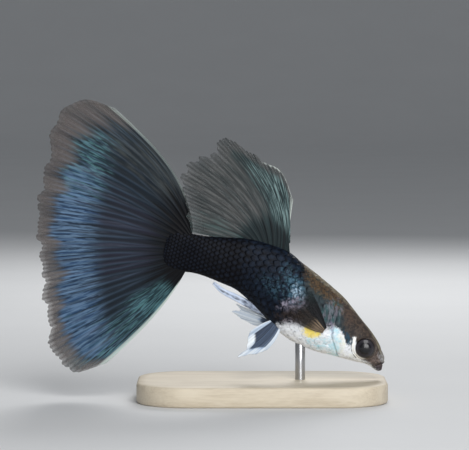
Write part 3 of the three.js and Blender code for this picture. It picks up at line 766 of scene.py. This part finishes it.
# %% Rays and grid
def fin_grid(rays, forks, columns, rows, ragged, seed):
    """Side-view grid of a fin plus its ray ridges; returns x, z, u, v, ridge, main, length."""
    table = np.array([[i, *root, *tip, bow] for i, (root, tip, bow) in enumerate(rays)], float)
    u = np.linspace(0, 1, columns)
    root_x, root_z, tip_x, tip_z, bow = through(table, u * (len(rays) - 1)).T
    random = np.random.default_rng(seed)
    tips = len(rays) * forks
    notches = np.interp(u, np.linspace(0, 1, 41), random.uniform(-1, 1, 41))
    fine = np.interp(u, np.linspace(0, 1, tips + 1), random.uniform(-1, 1, tips + 1))
    teeth = np.abs(np.sin(math.pi * u * tips))
    calm = smooth(0.02, 0.3, u) * smooth(1.0, 0.9, u)  # the outer rays end in a clean edge
    reach = 1 + ragged * calm * (0.6 * notches + 0.3 * fine + 0.25 * teeth - 0.2)
    v = np.linspace(0, 1, rows)[:, None]
    stretch = v * (1 + (reach - 1) * smooth(0.55, 1.0, v))
    dx = tip_x - root_x
    dz = tip_z - root_z
    arch = 4 * stretch * (1 - stretch) * (1.3 - 0.6 * stretch) * bow  # fuller toward the root
    x = root_x + dx * stretch - dz * arch
    z = root_z + dz * stretch + dx * arch
    length = np.hypot(dx, dz)
    order = np.arange(tips)
    whole_ray = (order // forks + 0.5) / len(rays)
    half_ray = (order // (forks // 2) + 0.5) / (len(rays) * 2)
    end_ray = (order + 0.5) / tips
    first = smooth(0.18, 0.5, v)
    second = smooth(0.5, 0.82, v)
    ray_u = (whole_ray * (1 - first) + half_ray * first) * (1 - second) + end_ray * second
    spread = np.hypot(np.gradient(x, u, axis=1), np.gradient(z, u, axis=1)) + 1e-6
    radius = 0.16 - 0.04 * v
    gap = np.abs(u[None, :, None] - ray_u[:, None, :]).min(axis=2)
    ridge = np.exp(-(gap * spread / radius) ** 2)
    whole = (np.arange(len(rays)) + 0.5) / len(rays)
    main = np.exp(-(np.abs(u[None, :] - whole[:, None]).min(axis=0) * spread / 0.26) ** 2)
    return x, z, np.broadcast_to(u, x.shape), np.broadcast_to(v, x.shape), ridge, main, length


# %% [markdown]
# The grid becomes a closed sheet: thick at the root, thin at the rim and thicker again
# under each ray. The markings also get the distance from the edge in millimetres.

# %% From grid to piece
def fin_mesh(x, y, z, thickness):
    """A closed sheet through grid points, as thick as given at each one."""
    middle = np.stack([x, y, z], -1)
    normal = np.cross(np.gradient(middle, axis=0), np.gradient(middle, axis=1))
    normal /= np.linalg.norm(normal, axis=-1, keepdims=True) + 1e-12
    front = middle + normal * thickness[..., None] / 2
    rear = middle - normal * thickness[..., None] / 2
    return np.concatenate([front.reshape(-1, 3), rear.reshape(-1, 3)]), sheet_faces(*x.shape)


def fin_piece(name, rays, wave, forks, columns, rows, ragged, seed, thick, zones, material, nodes):
    """Build one fin; wave gives y from v and u, zones turns the grid into its markings."""
    x, z, u, v, ridge, main, length = fin_grid(rays, forks, columns, rows, ragged, seed)
    y = wave(v, u)
    root, tip = thick
    film = root + (tip - root) * np.clip(v * 1.5, 0, 1)
    points, faces = fin_mesh(x, y, z, film + ridge * (0.09 - 0.05 * v))
    edge = (1 - v) * length
    marks = {key: np.tile(value.ravel(), 2) for key, value in zones(x, z, u, v, edge).items()}
    tips = len(rays) * forks
    grain = np.stack([u * tips, v * length, 0 * u], -1).reshape(-1, 3)
    marks["grain"] = np.concatenate([grain, grain])
    marks["ray"] = np.tile(ridge.ravel(), 2)
    marks["main"] = np.tile(main.ravel(), 2) * marks["lit"]
    return make_piece(name, points, faces, marks, material, nodes)


# %% [markdown]
# Fin film is clear skin with pigment along the rays. Glass that bends light would be
# truer, but a film this thin hardly bends any, so its alpha falls toward the rim instead.

# %% Fin material
ALONG = (1.0, 0.04, 1.0)  # streaks as long as the ray
BROKEN = (1.0, 0.22, 1.0)  # streaks that break up along it


def fin_material(name, ground, layers, ray_colour, ray_amount, gloss):
    """Fin film: glazed streaks along the rays, rays coloured where marked lit (on the tail a painted
    highlight), a film that thins at the rim.
    """
    material, tree = new_material(name)
    base = node(tree, "Mix", {0: noise(tree, 0.9, ALONG), 6: ground[0], 7: ground[1]}, **COLOUR)
    colour = paint(tree, base, layers)
    seen = node(tree, "Math", {0: "ray", 1: "lit"}, operation="MULTIPLY")
    flecks = node(tree, "Math", {0: noise(tree, 0.7, BROKEN), 1: ray_amount * 2}, operation="MULTIPLY")
    share = node(tree, "Math", {0: seen, 1: flecks}, operation="MULTIPLY")
    solid = node(tree, "Math", {0: "ray", 1: 0.15, 2: "film"}, operation="MULTIPLY_ADD")
    surface(tree, {
        "Base Color": node(tree, "Mix", {0: share, 6: colour, 7: ray_colour}, **COLOUR),
        "Alpha": node(tree, "Math", {0: solid, 1: 1.0}, operation="MINIMUM"),
        "Roughness": node(tree, "MapRange", {"Value": noise(tree, 1.5), "To Min": gloss,
                                             "To Max": gloss + 0.2}),
        "Normal": node(tree, "Bump", {"Height": noise(tree, 1.6, ALONG), "Distance": 0.00003,
                                      "Strength": 0.35}),
        "IOR": 1.4, "Specular IOR Level": 0.16})
    return material


# %% [markdown]
# ## The tail fan
# The tail is the showpiece: eighteen rays, forked twice, under a film that runs from
# a black root over dark teal to a bright blue band, and ends in a thin smoky rim. Its
# outline is given from the hub as a reach for each angle, which keeps the high, bowed upper
# edge and the straight lower one.

# %% Rays of the tail
TAIL_HUB = (-9.1, 18.35)
TAIL_REACH = [
    (-62.9, 18.7), (-56.9, 21.1), (-49, 22.1), (-41, 21.4), (-35.5, 20.0), (-25, 19.1), (-10.3, 18.0),
    (1.2, 17.5), (16.7, 17.9), (27.7, 18.8), (38.9, 20.6), (44.8, 20.4), (51.5, 19.4), (55.5, 17.0)]
TAIL_ROOT = ((-8.3, 20.5), (-9.1, 15.6))
TAIL_RAYS = 18
TAIL_BOWS = (-0.1, 0.045)

tail_rays = []
for i in range(TAIL_RAYS):
    t = i / (TAIL_RAYS - 1)
    angle = TAIL_REACH[0][0] + t * (TAIL_REACH[-1][0] - TAIL_REACH[0][0])
    reach = float(through(TAIL_REACH, angle)[0])
    turn = math.radians(angle)
    root = tuple(np.array(TAIL_ROOT[0]) * (1 - t) + np.array(TAIL_ROOT[1]) * t)
    tip = (TAIL_HUB[0] - math.cos(turn) * reach, TAIL_HUB[1] - math.sin(turn) * reach)
    tail_rays.append((root, tip, TAIL_BOWS[0] + t * (TAIL_BOWS[1] - TAIL_BOWS[0])))
print("tail rays:", len(tail_rays))


# %% [markdown]
# In water the fan hangs in soft folds, and two slow sine waves bend it. Its zones are
# measured outward from the root, downward from the top and inward from the ragged edge.

# %% Waves and markings of the tail
def tail_wave(v, u):
    """How far the fan stands out of the middle plane."""
    return 0.55 * v * v * np.sin(u * 9.5) + 0.5 * v * np.sin(u * 3.1 + 0.4)


def tail_zones(x, z, u, v, edge):
    """Markings of the tail fan from its grid: v runs out from the root, u runs downward."""
    wide = 1.0 + 1.1 * smooth(0.34, 0.1, u) + 0.2 * np.sin(u * 23) + 0.15 * np.sin(u * 61 + 1)
    rim = smooth(3.3, 0.6, edge / wide)
    band = smooth(0.52, 0.84, v) * smooth(1.0, 3.0, edge / wide)
    return {
        "hub": smooth(0.4, 0.12, v) * (1 - 0.7 * smooth(0.76, 0.9, u) * smooth(0.06, 0.14, v)),
        "socket": smooth(0.24, 0.1, v),
        "slate": smooth(0.15, 0.4, v),
        "indigo": smooth(0.12, 0.3, v) * smooth(0.75, 0.5, v) * smooth(0.2, 0.4, u) * smooth(0.8, 0.6, u),
        "blue": band * smooth(0.16, 0.38, u) * smooth(1.0, 0.85, u),
        "teal": np.maximum.reduce([
            band * smooth(0.06, 0.2, u) * smooth(0.42, 0.28, u),
            0.8 * band * smooth(0.72, 0.86, u),
            smooth(0.1, 0.22, v) * smooth(0.62, 0.3, v) * smooth(0.76, 0.9, u),
            0.5 * smooth(0.3, 0.5, v) * smooth(0.8, 0.92, u)]),
        "smoke": rim,
        "upper": smooth(0.24, 0.06, u) * smooth(0.1, 0.3, v),
        "pale_edge": np.maximum(smooth(0.975, 0.99, u), 0.6 * smooth(0.02, 0.008, u)) * smooth(0.05, 0.2, v),
        "film": 1.0 - 0.3 * rim - 0.3 * smooth(0.9, 0.1, edge),
        # Where rays are marked lit, the tail gives them a pale blue that is a painted highlight, strongest in
        # the blue band.
        "lit": (smooth(0.15, 0.5, v) * smooth(0.4, 1.8, edge) * (0.3 + 0.7 * band)
                * (1 - 0.55 * smooth(0.32, 0.12, u))),
    }


# %% [markdown]
# Cold colours lie over near black and break into streaks, so nearly every layer uses
# noise that is stretched along the ray.

# %% Paint of the tail
TAIL_LAYERS = [
    ("slate", "#161e26", 0.88, 0.5, 0.6, ALONG),
    ("upper", "#2a3032", 0.85, 0.6, 0.6, ALONG),
    ("upper", "#484c4c", 0.5, 1.4, 1.2, BROKEN),
    ("indigo", "#24222f", 0.8, 0.7, 0.6, ALONG),
    ("teal", "#1c343b", 0.9, 0.6, 0.6, ALONG),
    ("teal", "#64949a", 0.45, 2.2, 2.1, BROKEN),
    ("blue", "#17283d", 0.95, 0.5, 0.6, ALONG),
    ("blue", "#2a4a70", 0.55, 1.6, 1.3, ALONG),
    ("main", "#535d6e", 0.45, 0.8, 0.8, BROKEN),
    ("blue", "#7896b6", 0.34, 2.6, 1.7, BROKEN),
    ("smoke", "#645e5c", 0.95, 0.3, 0.5, ALONG),
    ("hub", "#06070a", 1.0, 0.6, 1.1, ALONG),
    ("socket", "#050508", 1.0, 0.2, 1.1, ALONG),
    ("pale_edge", "#c3d0ca", 0.9, 0.2, 1.0, ALONG),
]
# Pigmented fin skin: satin, opaque at the root and thin enough at the rim to show light.
# Its pale blue ray colour is a painted highlight along the rays.
TAIL = fin_material("tail_fin_glazed_film", ("#0e1319", "#1c252e"), TAIL_LAYERS, "#7493b2", 0.34, 0.45)
fin_piece("guppy_caudal_fin", tail_rays, tail_wave, 4, 577, 72, 0.035, 11, (0.5, 0.09),
          tail_zones, TAIL, ["caudal_fin"])

# %% [markdown]
# ## The dorsal fin
# The dorsal fin stands up from the middle of the back and trails over the tail stalk. Its
# front edge is stiff, pale and bowed, the front third shines green, and the rest is thin
# smoke-grey film with dark rays.

# %% Rays of the dorsal fin
DORSAL_RAYS = [
    ((3.4, 17.3), (3.75, 24.0), 0.04), ((2.9, 17.6), (2.3, 27.4), -0.06), ((2.4, 17.8), (-0.1, 28.8), -0.09),
    ((1.9, 18.0), (-2.2, 30.1), -0.1), ((1.4, 18.1), (-4.7, 31.3), -0.1), ((0.9, 18.2), (-6.0, 29.6), -0.1),
    ((0.4, 18.3), (-8.4, 28.5), -0.09), ((0.0, 18.4), (-9.5, 26.4), -0.08),
    ((-0.4, 18.5), (-9.2, 24.2), -0.06), ((-0.8, 18.6), (-8.9, 22.0), -0.03),
    ((-1.2, 18.6), (-8.5, 20.2), 0.0)]


# %% [markdown]
# The fin's upper part leans to one side, as it does in water, which keeps it from looking
# like a flat cut-out. Its zones run from the front ray to the last.

# %% Lean and markings of the dorsal fin
def dorsal_wave(v, u):
    """The top of the dorsal fin leans a little to one side and back."""
    return 0.5 * v * v * np.sin(u * 5 + 0.5)


def dorsal_zones(x, z, u, v, edge):
    """Markings of the dorsal fin: u runs from its front edge to the rear."""
    rim = smooth(2.4, 0.6, edge)
    rear = smooth(0.25, 0.6, u) * smooth(0.15, 0.4, v)
    front = smooth(0.035, 0.01, u) * smooth(0.1, 0.3, v)
    tips = smooth(0.3, 0.08, edge) * smooth(0.26, 0.14, u)
    return {
        "green": smooth(0.55, 0.1, u) * smooth(0.1, 0.35, v) * smooth(1.0, 0.7, v),
        "smoke": np.clip(rear + rim, 0, 1),
        "low": smooth(0.75, 0.97, u) * smooth(0.1, 0.3, v),
        "pale_edge": np.maximum(front, tips),
        "hub": smooth(0.34, 0.1, v),
        "film": np.clip(1.0 - 0.3 * rim - 0.22 * rear - 0.25 * smooth(0.8, 0.1, edge), 0.3, 1),
        "lit": smooth(0.05, 0.3, v),
    }


# %% [markdown]
# Green flecks shine on dark skin in front; behind them lies smoke on thin film.

# %% Paint of the dorsal fin
DORSAL_LAYERS = [
    ("smoke", "#4a4c4c", 0.9, 0.4, 0.6, ALONG),
    ("smoke", "#747473", 0.45, 1.4, 1.3, BROKEN),
    ("green", "#27383b", 0.9, 0.6, 0.6, ALONG),
    ("green", "#8ba6a6", 0.6, 2.4, 1.7, BROKEN),
    ("low", "#4a6463", 0.6, 1.2, 1.2, BROKEN),
    ("hub", "#0f1115", 1.0, 0.7, 1.0, ALONG),
    ("pale_edge", "#d0d8d2", 0.95, 0.2, 1.0, ALONG),
]
# The same skin with less pigment: its rays are darker than the film between them.
DORSAL = fin_material("dorsal_fin_glazed_film", ("#1b2629", "#2f4042"), DORSAL_LAYERS, "#1e2123", 0.6, 0.45)
fin_piece("guppy_dorsal_fin", DORSAL_RAYS, dorsal_wave, 4, 361, 60, 0.05, 5, (0.45, 0.08),
          dorsal_zones, DORSAL, ["dorsal_fin"])

# %% [markdown]
# ## Paired fins
# The pectoral fins fold back against the flank as smoky fans. The pelvic fins hang below
# the belly: deep blue film with a thick pale margin that ends in a short thread. The left
# pelvic fin is swept back, the right one points down.

# %% Rays of the paired fins
PECTORAL_RAYS = [
    ((7.6, 8.9), (5.9, 13.3), -0.03), ((7.5, 8.75), (4.9, 13.2), -0.03), ((7.4, 8.6), (3.9, 12.4), 0.0),
    ((7.3, 8.45), (3.2, 11.3), 0.03), ((7.2, 8.3), (3.0, 10.2), 0.06)]
PELVIC_RAYS = [
    ((2.1, 8.4), (0.7, 6.2), 0.08), ((1.9, 8.6), (-0.5, 5.7), 0.06), ((1.7, 8.8), (-1.4, 5.6), 0.05),
    ((1.6, 9.0), (-2.9, 5.3), 0.05), ((1.45, 9.2), (-1.9, 6.2), 0.03), ((1.3, 9.4), (-1.75, 7.2), 0.0),
    ((1.15, 9.6), (-1.4, 8.4), -0.05)]
PELVIC_BACK_RAYS = [
    ((1.7, 8.8), (-1.0, 8.8), 0.04), ((1.5, 9.0), (-2.3, 9.5), 0.04), ((1.3, 9.2), (-3.5, 10.4), 0.04),
    ((1.1, 9.4), (-2.6, 10.6), 0.0), ((0.9, 9.7), (-3.1, 11.4), 0.0)]


# %% [markdown]
# The pectoral fin is the clearest: pigment sits in its front ray and at its root, and
# elsewhere the film is kept thin so that the flank shows through.

# %% Pectoral markings and paint
def pectoral_zones(x, z, u, v, edge):
    """Markings of a pectoral fin: a dark front ray, a brown rear and a clear tip."""
    return {
        "front_ray": smooth(0.4, 0.08, u) * smooth(1.1, 0.5, v),
        "green_tip": smooth(0.55, 0.1, u) * smooth(0.4, 0.9, v),
        "brown": smooth(0.35, 0.7, u),
        "root_glow": smooth(0.5, 0.12, v) * smooth(0.3, 0.6, u),
        "film": np.clip(0.97 - 0.5 * smooth(0.45, 1.0, v) - 0.6 * smooth(0.15, 0.5, u) * smooth(0.1, 0.45, v)
                        - 0.3 * smooth(0.75, 1.0, v), 0.06, 1),
        "lit": smooth(0.3, 0.6, u),
    }


# Clear fin skin with a breath of smoke, so the flank shows through its rear half.
PECTORAL = fin_material("pectoral_fin_smoky_film", ("#17181b", "#2b2c2e"), [
    ("brown", "#4b4038", 0.85, 0.7, 0.9, ALONG),
    ("green_tip", "#29383a", 0.8, 0.5, 0.8, ALONG),
    ("front_ray", "#07080b", 0.97, 0.4, 1.0, ALONG),
    ("root_glow", "#c0a88c", 0.7, 1.2, 1.0, ALONG)], "#221c19", 0.35, 0.45)


# %% [markdown]
# The pelvic fins are milky around a dark core. Both use the same layers, and the one that
# is swept back has a smaller core, so its wider pale border adds painted light to a fin in the body's shade.

# %% Pelvic markings and paint
def pelvic_zones(x, z, u, v, edge, reach=0.62):
    """A dark core out to the given reach, and a pale border around it."""
    border = np.maximum.reduce([smooth(reach, reach + 0.25, v), smooth(0.22, 0.05, u), smooth(0.84, 0.95, u)])
    return {
        "border": border,
        "core": smooth(0.6, 0.15, border),
        "film": 0.95 - 0.1 * border,
        "lit": 0.25 + 0.5 * border,
    }


def pelvic_back_zones(x, z, u, v, edge):
    """The swept-back fin is nearly all pale border: its pale margin is widened as painted light on a fin that
    the body shades.
    """
    return pelvic_zones(x, z, u, v, edge, 0.2)


# Thicker fin skin that looks milky: light scatters in it and comes back pale blue.
PELVIC = fin_material("pelvic_fin_blue_film", ("#7387a6", "#a3bad4"), [
    ("core", "#1b2437", 1.0, 0.15, 0.8, ALONG),
    ("core", "#43546f", 0.4, 1.4, 1.1, ALONG),
    ("border", "#f2f8fc", 0.97, 0.5, 0.8, ALONG)], "#b4c6dc", 0.2, 0.4)

# %% [markdown]
# The pectoral fins mirror each other. The pelvic fins have rays of their own on each
# side, because only one of them is swept back.

# %% Both sides
for side_name, sign in (("left", 1), ("right", -1)):
    fin_piece(f"guppy_pectoral_fin_{side_name}", PECTORAL_RAYS,
              lambda v, u, sign=sign: sign * (2.5 + 0.7 * v + 0.12 * np.sin(u * math.pi)),
              4, 161, 40, 0.04, 21, (0.25, 0.06), pectoral_zones, PECTORAL,
              [f"pectoral_fin_{side_name}"])
    fin_piece(f"guppy_pelvic_fin_{side_name}", PELVIC_RAYS if sign < 0 else PELVIC_BACK_RAYS,
              lambda v, u, sign=sign: sign * (0.7 + (1.0 if sign < 0 else 0.8) * v + 0.15 * np.sin(u * 4)),
              2, 141, 44, 0.05, 31, (0.3, 0.07), pelvic_zones if sign < 0 else pelvic_back_zones,
              PELVIC, [f"pelvic_fin_{side_name}"])

# %% [markdown]
# ## The gonopodium
# In a male guppy the front rays of the anal fin have become a slender rod that lies back
# under the tail stalk and ends in a small hook. It is a tapered, flattened loft along a
# curve, pale blue with dark lines along it.

# %% Gonopodium
RINGS = 60
TURNS = 24
# share of the length, then x, z and radius
GONOPODIUM = [(0.0, 1.1, 10.1, 0.55), (0.3, -0.9, 11.1, 0.5), (0.6, -3.2, 12.3, 0.44),
              (0.85, -4.9, 13.2, 0.34), (1.0, -5.85, 14.05, 0.2)]
t = np.linspace(0, 1, RINGS)
line_x, line_z, radius = through(GONOPODIUM, t).T
way = np.stack([np.gradient(line_x), np.gradient(line_z)], -1)
way /= np.linalg.norm(way, axis=1, keepdims=True)
turn = np.linspace(0, 2 * math.pi, TURNS, endpoint=False)
reach = radius[:, None] * (1 - 0.12 * np.cos(4 * turn))  # four shallow grooves
lift = np.sin(turn) * reach
rod = np.stack([line_x[:, None] - way[:, 1:] * lift, 0.62 * np.cos(turn) * reach,
                line_z[:, None] + way[:, :1] * lift], -1).reshape(-1, 3)
dark_root = smooth(0.62, 0.3, t)[:, None]
stripe = np.maximum(np.broadcast_to(smooth(0.6, 1.0, np.cos(2 * turn)), (RINGS, TURNS)), dark_root).ravel()
flat = np.zeros(len(rod))
grain = np.stack([np.repeat(t, TURNS) * 8, np.tile(turn, RINGS), flat], -1)
# Firm, pale skin around joined rays: satin and opaque.
GONO = fin_material("gonopodium_pale_glaze", ("#a9bcdc", "#e3ebf6"), [
    ("stripe", "#1d2236", 0.9, 0.6, 1.0)], "#dfe6f5", 0.1, 0.35)
make_piece("guppy_gonopodium", rod, tube_faces(RINGS, TURNS),
           {"stripe": stripe, "grain": grain, "ray": flat, "lit": flat, "film": flat + 1},
           GONO, ["gonopodium"])

# %% [markdown]
# ## The stand
# The live fish swims free; the model needs something to hold it. A flat base of pale oiled
# wood with rounded corners and eased edges carries one steel rod that goes up into the
# belly. The grain runs along the base, and the rod has the fine turned finish of drawn
# steel.

# %% Finishes of the stand
BASE_SIZE = (30.0, 18.0, 2.4)
BASE_CORNER = 6.0
BASE_EASE = 0.3  # radius of the eased edges
BASE_LAND = 1.2  # the flat faces start this far in with a ring of their own
ROD_X = 4.6
ROD_RADIUS = 0.6
ROD_RANGE = (1.1, 7.7)

# Ash, planed and wiped with whitened oil: pale and matt, with grain lines about 1 mm
# apart that run along the board.
wood, tree = new_material("ash_whitened_oil_finish")
place = node(tree, "TexCoord", output="Object")
long_grain = node(tree, "Mapping", {"Vector": place, "Scale": (120.0, 900.0, 900.0)})
wander = node(tree, "TexNoise", {"Vector": long_grain, "Scale": 1.0, "Detail": 4.0, "Distortion": 0.6})
pores = node(tree, "TexNoise", {"Vector": long_grain, "Scale": 6.0, "Detail": 2.0})
band = node(tree, "MapRange", {"Value": wander, "From Min": 0.35, "From Max": 0.65})
years = node(tree, "Mix", {0: band, 6: "#b3a48c", 7: "#cdc1ab"}, **COLOUR)
surface(tree, {
    "Base Color": node(tree, "Mix", {0: pores, 6: years, 7: "#d8cdb9"}, **COLOUR),
    "Roughness": node(tree, "MapRange", {"Value": pores, "To Min": 0.42, "To Max": 0.6}),
    "Normal": node(tree, "Bump", {"Height": pores, "Distance": 0.00003, "Strength": 0.4})})

# Bright drawn steel: the die leaves fine lines along the rod, which soften its shine.
steel, tree = new_material("drawn_steel_fine_brushed")
place = node(tree, "TexCoord", output="Object")
drawn = node(tree, "Mapping", {"Vector": place, "Scale": (9000.0, 9000.0, 300.0)})
lines = node(tree, "TexNoise", {"Vector": drawn, "Scale": 1.0, "Detail": 2.0})
surface(tree, {
    "Base Color": node(tree, "Mix", {0: lines, 6: "#a9abae", 7: "#c9cacc"}, **COLOUR),
    "Roughness": node(tree, "MapRange", {"Value": lines, "To Min": 0.22, "To Max": 0.4}),
    "Metallic": 1.0})

# %% [markdown]
# A sanded board has rounded corners and eased edges. Rings of one outline, drawn in step
# by step, make them without a bevel modifier and keep the faces even.

# %% Base board
corner = np.linspace(0, math.pi / 2, 25)


def rounded_outline(inset):
    """The base's outline from above, drawn in by inset."""
    radius = BASE_CORNER - inset
    half = (BASE_SIZE[0] / 2 - inset - radius, BASE_SIZE[1] / 2 - inset - radius)
    quarters = []
    for k, (sx, sy) in enumerate(((1, 1), (-1, 1), (-1, -1), (1, -1))):
        angle = corner + k * math.pi / 2
        quarters.append(np.stack([sx * half[0] + radius * np.cos(angle),
                                  sy * half[1] + radius * np.sin(angle)], -1))
    return np.concatenate(quarters)


# inset and height of each ring, from the middle of the underside over the edge to the top
thick = BASE_SIZE[2]
eased = BASE_EASE * 0.3
levels = [(BASE_LAND, 0.0), (BASE_EASE, 0.0), (eased, eased), (0.0, BASE_EASE), (0.0, thick / 2),
          (0.0, thick - BASE_EASE), (eased, thick - eased), (BASE_EASE, thick), (BASE_LAND, thick)]
outlines = [rounded_outline(inset) for inset, _ in levels]
around = len(outlines[0])
points = np.concatenate([np.column_stack([outline, np.full(around, height)])
                         for outline, (_, height) in zip(outlines, levels)])
make_piece("stand_base_board", points, tube_faces(len(levels), around), {},
           wood, ["stand_base"])

# %% [markdown]
# The rod is turned from one outline, like the eyes. It starts inside the board and ends
# inside the belly, so both joints look tight.

# %% Rod
low, high = ROD_RANGE
profile = [(0, low), (ROD_RADIUS, low), (ROD_RADIUS, low + 0.3), (ROD_RADIUS, (low + high) / 2),
           (ROD_RADIUS, high - 0.1), (ROD_RADIUS - 0.1, high), (0, high)]
points, faces = lathe(profile, 48)
points[:, 0] += ROD_X
make_piece("stand_rod_steel", points, faces, {}, steel, ["stand_rod"])

# %% [markdown]
# ## Floor, light and camera
# A pale sweep that turns up far behind the model keeps the background plain. A large soft
# key from above and in front and a fill of the same power lower down show the colours,
# and a weaker lamp behind gives the film of the fins some glow. The camera looks at the
# fish's right side from a little above, through a long lens.

# %% Floor
FLOOR_REACH = 1600.0  # half the floor's width, and how far it comes to the front
SWEEP_START = 900.0  # distance behind the model where the floor starts to turn up
SWEEP_RADIUS = 500.0
sweep = [(-FLOOR_REACH, 0.0), (SWEEP_START, 0.0)]
sweep += [(SWEEP_START + SWEEP_RADIUS * math.sin(a), SWEEP_RADIUS * (1 - math.cos(a)))
          for a in np.linspace(0.08, math.pi / 2, 24)]
sweep.append((SWEEP_START + SWEEP_RADIUS, FLOOR_REACH))
points = [(side_x, y, z) for y, z in sweep for side_x in (-FLOOR_REACH, FLOOR_REACH)]
faces = [[2 * i, 2 * i + 1, 2 * i + 3, 2 * i + 2] for i in range(len(sweep) - 1)]
floor_mesh = bpy.data.meshes.new("floor")
floor_mesh.from_pydata((np.array(points) * MM).tolist(), [], faces)
floor_mesh.shade_smooth()
# Uncoated studio paper: matt, with a barely uneven tone.
paper, tree = new_material("pale_paper_sweep")
place = node(tree, "TexCoord", output="Object")
tone = node(tree, "TexNoise", {"Vector": place, "Scale": 40.0, "Detail": 3.0})
surface(tree, {"Base Color": node(tree, "Mix", {0: tone, 6: "#d3d4d5", 7: "#d9dadb"}, **COLOUR),
               "Roughness": 0.9})
floor_mesh.materials.append(paper)
floor = bpy.data.objects.new("floor", floor_mesh)
bpy.context.scene.collection.objects.link(floor)
print("floor: paper sweep of", len(faces), "strips")


# %% [markdown]
# Large soft lamps suit a satin subject, because small ones would leave hard spots on it.
# Their power is low because the model is small, and the camera doesn't see them.

# %% Lamps
def aimed(way):
    """The rotation that points an object's -Z along a direction, with +Y kept upward."""
    return Vector(way).to_track_quat("-Z", "Y").to_euler()


def area_light(name, place, target, size, power):
    """A soft square light at a place in mm that looks at a target in mm."""
    data = bpy.data.lights.new(name, "AREA")
    data.size = size * MM
    data.energy = power
    lamp = bpy.data.objects.new(name, data)
    lamp.location = np.array(place) * MM
    lamp.rotation_euler = aimed(np.array(target, float) - np.array(place, float))
    lamp.visible_camera = False
    bpy.context.scene.collection.objects.link(lamp)
    print(f"{name} lamp: {size} mm wide, {power} W")


area_light("key", (60, -220, 240), (0, 0, 18), 170, 0.42)
area_light("fill", (70, -270, 75), (0, 0, 14), 140, 0.42)
area_light("back", (30, 190, 160), (0, 0, 20), 120, 0.3)

world = bpy.data.worlds.new("studio")
world.use_nodes = True
world.node_tree.nodes["Background"].inputs["Color"].default_value = linear("#dfe3e8")
world.node_tree.nodes["Background"].inputs["Strength"].default_value = 0.3
bpy.context.scene.world = world

# %% [markdown]
# The framing fixes the camera: the millimetres per pixel at the fish and a long distance
# give the focal length, and the aim is the point in the middle of the frame.

# %% Camera
PIXEL = 0.12  # millimetres per photo pixel at the fish
FRAME = (469, 450)
ORIGIN_AT = (262, 400)  # pixel where the middle of the stand's underside lies
SENSOR = 36.0
DISTANCE = 330.0
ELEVATION = 3.5
aim = np.array([(FRAME[0] / 2 - ORIGIN_AT[0]) * PIXEL, 0.0, (ORIGIN_AT[1] - FRAME[1] / 2) * PIXEL])
tilt = math.radians(ELEVATION)
eye_at = aim + DISTANCE * np.array([0, -math.cos(tilt), math.sin(tilt)])
lens_data = bpy.data.cameras.new("camera")
lens_data.sensor_width = SENSOR
lens_data.lens = SENSOR * DISTANCE / (FRAME[0] * PIXEL)
lens_data.clip_start = 0.01
camera = bpy.data.objects.new("camera", lens_data)
camera.location = eye_at * MM
camera.rotation_euler = aimed(aim - eye_at)
bpy.context.scene.collection.objects.link(camera)
bpy.context.scene.camera = camera
bpy.context.scene.view_settings.view_transform = "Standard"
print("focal length in mm:", round(lens_data.lens, 1))

# %% The last call
bpy.context.view_layer.update()
